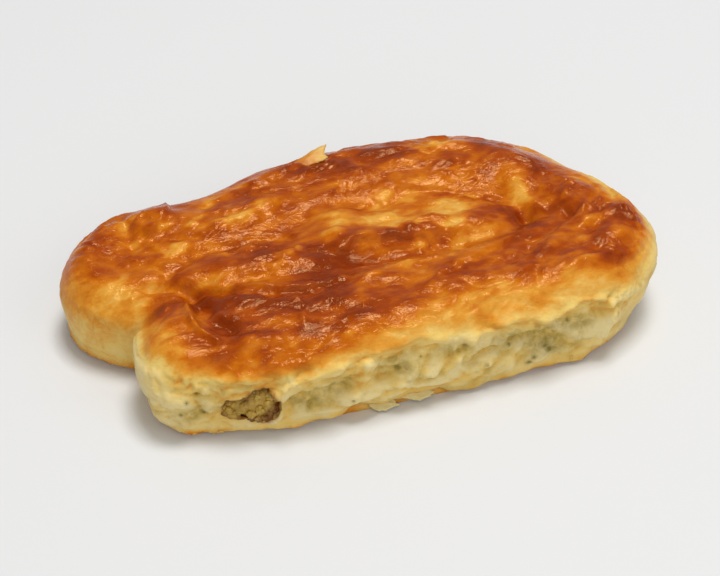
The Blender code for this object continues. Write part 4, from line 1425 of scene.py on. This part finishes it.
def curled_flake(tree):
    """A thin curled flake, one unit long."""
    slab = add_node(tree, "GeometryNodeMeshCube")
    put(slab, Size=(1.0, 0.62, 0.09), Vertices_X=6, Vertices_Y=4, Vertices_Z=2)
    place = add_node(tree, "GeometryNodeInputPosition")
    parts = add_node(tree, "ShaderNodeSeparateXYZ")
    tree.links.new(place.outputs[0], parts.inputs[0])
    curl = math_node(tree, "MULTIPLY", parts.outputs["X"], parts.outputs["X"])
    curl = math_node(tree, "MULTIPLY", curl, 0.7)
    ragged = add_node(tree, "ShaderNodeTexNoise")
    put(ragged, Scale=2.2, Detail=1.0)
    tree.links.new(place.outputs[0], ragged.inputs["Vector"])
    uneven = math_node(tree, "MULTIPLY_ADD", ragged.outputs["Fac"], 0.7, -0.35)
    narrow = math_node(tree, "MULTIPLY", uneven, parts.outputs["Y"])
    offset = add_node(tree, "ShaderNodeCombineXYZ")
    tree.links.new(uneven, offset.inputs["X"])
    tree.links.new(narrow, offset.inputs["Y"])
    tree.links.new(curl, offset.inputs["Z"])
    bent = add_node(tree, "GeometryNodeSetPosition")
    tree.links.new(slab.outputs["Mesh"], bent.inputs["Geometry"])
    tree.links.new(offset.outputs[0], bent.inputs["Offset"])
    return bent.outputs[0]


def soft_lump(tree):
    """A small uneven lump, one unit in radius."""
    ball = put(add_node(tree, "GeometryNodeMeshIcoSphere"), Radius=1.0, Subdivisions=3)
    place = add_node(tree, "GeometryNodeInputPosition")
    field = add_node(tree, "ShaderNodeTexNoise")
    put(field, Scale=1.1, Detail=1.0)
    tree.links.new(place.outputs[0], field.inputs["Vector"])
    amount = math_node(tree, "MULTIPLY_ADD", field.outputs["Fac"], 1.6, -0.8)
    pushed = add_node(tree, "ShaderNodeVectorMath", operation="SCALE")
    tree.links.new(place.outputs[0], pushed.inputs[0])
    tree.links.new(amount, pushed.inputs["Scale"])
    moved = add_node(tree, "GeometryNodeSetPosition")
    tree.links.new(ball.outputs["Mesh"], moved.inputs["Geometry"])
    tree.links.new(pushed.outputs[0], moved.inputs["Offset"])
    return moved.outputs[0]


def scatter(name, surface, where, tree, material, **inputs):
    """Runs a scatter tree on a copy of a surface and keeps what it scatters as a plain mesh."""
    mesh = surface.copy()
    set_attribute(mesh, "scatter", where)
    carrier = add_object(name, mesh)
    modifier = carrier.modifiers.new("scatter", "NODES")
    modifier.node_group = tree
    ids = {item.name: item.identifier for item in tree.interface.items_tree if item.item_type == "SOCKET"}
    for label, value in inputs.items():
        modifier[ids[label]] = value
    modifier[ids["Material"]] = material
    apply_modifiers(carrier)
    carrier.data.shade_smooth()
    return carrier


def finish_piece(piece, slot, *nodes):
    """Fixes a finished piece to the frame and hides any node that it stands for. The slot is not used."""
    if nodes:
        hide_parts(*nodes)
    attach(piece, "root")


class CrustSettings(bpy.types.PropertyGroup):
    """Colours and gloss of the baked pastry."""

    pale: FloatVectorProperty(
        name="Pale", description="Pastry that the oven hardly coloured", subtype="COLOR",
        default=(0.78, 0.65, 0.32),
    )
    cream: FloatVectorProperty(
        name="Cream", description="Pale pastry of the sides", subtype="COLOR", default=(0.77, 0.54, 0.15),
    )
    golden: FloatVectorProperty(
        name="Golden", description="Lightly baked crust", subtype="COLOR", default=(0.68, 0.29, 0.030),
    )
    amber: FloatVectorProperty(
        name="Amber", description="Well baked crust", subtype="COLOR", default=(0.53, 0.13, 0.002),
    )
    copper: FloatVectorProperty(
        name="Copper", description="Deep brown crust", subtype="COLOR", default=(0.34, 0.050, 0.001),
    )
    brown: FloatVectorProperty(
        name="Brown", description="Darkest bands of the crust", subtype="COLOR",
        default=(0.20, 0.022, 0.0006),
    )
    # The filling seen through the side, dark enough to be painted shade in its recesses as well.
    show_through: FloatVectorProperty(
        name="Show-through", description="Filling seen through the thin side", subtype="COLOR",
        default=(0.34, 0.245, 0.052),
    )
    herb: FloatVectorProperty(
        name="Herb", description="Herb seen through the thin side", subtype="COLOR",
        default=(0.13, 0.11, 0.02),
    )
    singed: FloatVectorProperty(
        name="Singed", description="Brown rim of the torn hole", subtype="COLOR", default=(0.30, 0.12, 0.02),
    )
    mottle: FloatProperty(
        name="Mottle", description="How unevenly the crust is browned", default=0.28, min=0.0, max=1.0,
        subtype="FACTOR",
    )
    roughness: FloatProperty(
        name="Roughness", description="Roughness of the glazed top", default=0.18, min=0.0, max=1.0,
        subtype="FACTOR",
    )
    shine: FloatProperty(
        name="Shine", description="Strength of the crust's own warm shine", default=0.34, min=0.0, max=1.0,
        subtype="FACTOR",
    )
    shine_colour: FloatVectorProperty(
        name="Shine colour", description="Colour of the crust's own shine", subtype="COLOR",
        default=(1.0, 0.60, 0.24),
    )
    glaze: FloatProperty(
        name="Glaze", description="Strength of the clear egg glaze", default=0.06, min=0.0, max=1.0,
        subtype="FACTOR",
    )


class SkinSettings(bpy.types.PropertyGroup):
    """Loose skins and crumbs."""

    density: FloatProperty(
        name="Crumb density", description="Crumbs to each square metre where they lie thickest",
        default=6000.0, min=0.0,
    )
    size: FloatProperty(
        name="Crumb length", description="Length of the largest crumb", default=0.0017, min=0.0002,
        subtype="DISTANCE", unit="LENGTH",
    )
    seed: IntProperty(name="Crumb seed", description="Seed of the draw that lays the crumbs", default=5)
    toast: FloatProperty(
        name="Crumb toast", description="How browned the crumbs are", default=0.45, min=0.0, max=1.0,
        subtype="FACTOR",
    )


class FillingSettings(bpy.types.PropertyGroup):
    """Colours and lumps of the filling."""

    base: FloatVectorProperty(
        name="Base", description="Main colour of the filling", subtype="COLOR", default=(0.50, 0.31, 0.052),
    )
    shaded: FloatVectorProperty(
        name="Shaded", description="Darker olive parts of the filling", subtype="COLOR",
        default=(0.28, 0.155, 0.014),
    )
    curd: FloatVectorProperty(
        name="Curd", description="Pale lumps of potato and cheese", subtype="COLOR",
        default=(0.68, 0.52, 0.18),
    )
    singed: FloatVectorProperty(
        name="Singed", description="Browned filling at the rim of the hole", subtype="COLOR",
        default=(0.17, 0.055, 0.003),
    )
    herb_dark: FloatVectorProperty(
        name="Herb dark", description="Dark side of the herbs", subtype="COLOR", default=(0.05, 0.06, 0.01),
    )
    herb_light: FloatVectorProperty(
        name="Herb light", description="Light side of the herbs", subtype="COLOR", default=(0.15, 0.16, 0.03),
    )
    lump_density: FloatProperty(
        name="Lump density", description="Lumps to each square metre near the hole", default=300000.0,
        min=0.0,
    )
    lump_size: FloatProperty(
        name="Lump radius", description="Radius of the largest lump", default=0.0013, min=0.0001,
        subtype="DISTANCE", unit="LENGTH",
    )
    herb_density: FloatProperty(
        name="Herb density", description="Herbs to each square metre near the hole", default=40000.0,
        min=0.0,
    )
    herb_size: FloatProperty(
        name="Herb length", description="Length of the largest herb", default=0.0011, min=0.0001,
        subtype="DISTANCE", unit="LENGTH",
    )
    seed: IntProperty(name="Seed", description="Seed of the draws in the filling", default=3)


class StageSettings(bpy.types.PropertyGroup):
    """Table, lights and camera."""

    floor_colour: FloatVectorProperty(
        name="Table colour", description="Colour of the plain table", subtype="COLOR",
        default=(0.72, 0.73, 0.74),
    )
    key_power: FloatProperty(
        name="Key light", description="Power of the large light overhead", default=19.0, min=0.0,
        unit="POWER",
    )
    fill_power: FloatProperty(
        name="Right fill", description="Power of the soft light from the front right", default=4.0, min=0.0,
        unit="POWER",
    )
    front_power: FloatProperty(
        name="Front fill", description="Power of the soft light from the front", default=8.0, min=0.0,
        unit="POWER",
    )
    room_light: FloatProperty(
        name="Room light", description="Strength of the even light all round", default=0.36, min=0.0,
    )
    room_colour: FloatVectorProperty(
        name="Room colour", description="Colour of the even light all round", subtype="COLOR",
        default=(1.0, 0.96, 0.91),
    )


class BOREK_OT_bake_pastry(bpy.types.Operator):
    """Make the coiled pastry with its browned crust, pale sides and torn hole"""

    bl_idname = "borek.bake_pastry"
    bl_label = "Bake Pastry"

    def execute(self, context):
        bm = bmesh.new()
        add_strand(bm, rings_along(ROPE))
        for bridge in BRIDGES:
            add_strand(bm, rings_along(bridge))
        pastry = add_object("pastry_crust", mesh_from("pastry_crust", bm))
        fuse(pastry, COARSE_VOXEL, COARSE_SMOOTH)
        cut_underside(pastry.data)
        fuse(pastry, FINE_VOXEL, FINE_SMOOTH)
        shape_crust(pastry.data)
        thin_underside(pastry)
        combine(pastry, "DIFFERENCE", cavity_cutter())
        paint_crust(pastry.data)
        pastry.data.materials.clear()
        pastry.data.materials.append(crust_material(context.scene.borek_crust))
        pastry.data.shade_smooth()
        finish_piece(pastry, "crust", "pastry")
        return {"FINISHED"}


class BOREK_OT_lay_skins(bpy.types.Operator):
    """Make the loose skins at the front foot and the back edge"""

    bl_idname = "borek.lay_skins"
    bl_label = "Lay Loose Skins"

    def execute(self, context):
        material = skin_material(context.scene.borek_crust)
        for number, (corners, thickness, bulge) in enumerate(SKINS):
            mesh = skin_mesh(number, corners, thickness, bulge)
            skin = add_object(f"loose_skin_{number}", mesh)
            places, _ = coordinates(mesh)
            left, right = BACK_SKIN_TOAST
            browned = left + (right - left) * smooth_share(places[:, 0], -6, 4)
            set_attribute(mesh, "toast", np.where(places[:, 2] > 10, browned, FOOT_SKIN_TOAST))
            mesh.materials.append(material)
            mesh.shade_smooth()
            finish_piece(skin, "crust")
        return {"FINISHED"}


class BOREK_OT_scatter_crumbs(bpy.types.Operator):
    """Scatter small loose flakes of skin along the foot"""

    bl_idname = "borek.scatter_crumbs"
    bl_label = "Scatter Crumbs"

    def execute(self, context):
        settings = context.scene.borek_skin
        surface = bpy.data.objects["pastry_crust"].data
        crumbs = scatter(
            "skin_crumbs", surface, stored(surface, "flaky"), scatter_tree("lay skin crumbs", curled_flake),
            bpy.data.materials["loose skin"],
            Density=settings.density, Size=settings.size, Smallest=0.3, Seed=settings.seed,
        )
        set_attribute(crumbs.data, "toast", np.full(len(crumbs.data.vertices), settings.toast))
        finish_piece(crumbs, "crust")
        return {"FINISHED"}


class BOREK_OT_fill_roll(bpy.types.Operator):
    """Make the filling that runs through the rope"""

    bl_idname = "borek.fill_roll"
    bl_label = "Fill Roll"

    def execute(self, context):
        filling = filling_rod("filling_mass", FILLING_VOXEL)
        mesh = filling.data
        places, normals = coordinates(mesh)
        close = bell(np.linalg.norm(places - np.array(HOLE), axis=1), HOLE_REACH)
        places += normals * (close * lumps(places, HOLE_LUMP_SIZE, HOLE_LUMP_HEIGHT))[:, None]
        move_points(mesh, places)
        set_attribute(mesh, "singe", filling_singe(places))
        set_attribute(mesh, "near_hole", (hole_rim(places) < 1.0) * (normals[:, 1] < -0.2))
        mesh.materials.clear()
        mesh.materials.append(filling_material(context.scene.borek_filling))
        mesh.shade_smooth()
        finish_piece(filling, "filling", "filling")
        return {"FINISHED"}


class BOREK_OT_stir_in_lumps(bpy.types.Operator):
    """Scatter curd lumps and chopped herbs on the filling where the hole shows it"""

    bl_idname = "borek.stir_in_lumps"
    bl_label = "Stir In Lumps"

    def execute(self, context):
        settings = context.scene.borek_filling
        surface = bpy.data.objects["filling_mass"].data
        where = stored(surface, "near_hole")
        lump_piece = scatter(
            "filling_lumps", surface, where, scatter_tree("stir in lumps", soft_lump),
            bpy.data.materials["moist filling"],
            Density=settings.lump_density, Size=settings.lump_size, Smallest=0.45, Seed=settings.seed,
        )
        places, _ = coordinates(lump_piece.data)
        set_attribute(lump_piece.data, "singe", filling_singe(places))
        finish_piece(lump_piece, "filling")
        herbs = scatter(
            "chopped_herbs", surface, where, scatter_tree("stir in herbs", curled_flake),
            herb_material(settings),
            Density=settings.herb_density, Size=settings.herb_size, Smallest=0.4, Seed=settings.seed + 1,
        )
        finish_piece(herbs, "filling")
        return {"FINISHED"}


class BOREK_OT_set_stage(bpy.types.Operator):
    """Set the plain table, the soft studio lights and the camera"""

    bl_idname = "borek.set_stage"
    bl_label = "Set Stage"

    def execute(self, context):
        settings = context.scene.borek_stage
        scene = context.scene
        scene.view_settings.view_transform = "Standard"
        bm = bmesh.new()
        bmesh.ops.create_grid(bm, x_segments=1, y_segments=1, size=TABLE_SIZE)
        table = add_object("pale_table", mesh_from("pale_table", bm))
        table.data.materials.append(floor_material(settings))
        world = bpy.data.worlds.new("studio")
        world.use_nodes = True
        background = world.node_tree.nodes["Background"]
        put(background, Color=(*settings.room_colour, 1.0), Strength=settings.room_light)
        scene.world = world
        for name, place, width, power in LIGHTS:
            add_light(name, place, width, getattr(settings, power))
        camera = bpy.data.objects.new("camera", bpy.data.cameras.new("camera"))
        scene.collection.objects.link(camera)
        camera.data.sensor_width = VIEW_SENSOR
        camera.data.lens = VIEW_LENS
        camera.data.clip_start = 0.01
        turn, rise = math.radians(VIEW_TURN), math.radians(VIEW_RISE)
        back = Vector((math.sin(turn) * math.cos(rise), -math.cos(turn) * math.cos(rise), math.sin(rise)))
        camera.matrix_world = back.to_track_quat("Z", "Y").to_matrix().to_4x4()
        camera.location = (Vector(VIEW_POINT) - Vector(MIDDLE)) * MM + back * VIEW_DISTANCE
        scene.camera = camera
        return {"FINISHED"}


def add_light(name, place, width, power):
    """A square soft light that points at the middle of the table."""
    light = bpy.data.lights.new(name, "AREA")
    light.size = width
    light.energy = power
    lamp = bpy.data.objects.new(name, light)
    bpy.context.scene.collection.objects.link(lamp)
    lamp.matrix_world = Matrix.Translation(place) @ Vector(place).to_track_quat("Z", "Y").to_matrix().to_4x4()


class BOREK_PT_panel(bpy.types.Panel):
    """Lists the steps that build the borek roll"""

    bl_idname = "BOREK_PT_panel"
    bl_label = "Borek Roll"
    bl_space_type = "VIEW_3D"
    bl_region_type = "UI"
    bl_category = "Borek"

    def draw(self, context):
        for step in STEPS:
            self.layout.operator(step.bl_idname)


STEPS = (
    BOREK_OT_set_stage,
    BOREK_OT_bake_pastry,
    BOREK_OT_lay_skins,
    BOREK_OT_scatter_crumbs,
    BOREK_OT_fill_roll,
    BOREK_OT_stir_in_lumps,
)
SETTINGS = {
    "borek_crust": CrustSettings,
    "borek_skin": SkinSettings,
    "borek_filling": FillingSettings,
    "borek_stage": StageSettings,
}


def register():
    for cls in (*SETTINGS.values(), *STEPS, BOREK_PT_panel):
        bpy.utils.register_class(cls)
    for name, cls in SETTINGS.items():
        setattr(bpy.types.Scene, name, PointerProperty(type=cls))


def unregister():
    for name in SETTINGS:
        delattr(bpy.types.Scene, name)
    for cls in (BOREK_PT_panel, *reversed(STEPS), *SETTINGS.values()):
        bpy.utils.unregister_class(cls)


def main():
    register()
    bpy.ops.borek.set_stage()
    bpy.ops.borek.bake_pastry()
    bpy.ops.borek.lay_skins()
    bpy.ops.borek.scatter_crumbs()
    bpy.ops.borek.fill_roll()
    bpy.ops.borek.stir_in_lumps()


if __name__ == "__main__":
    main()
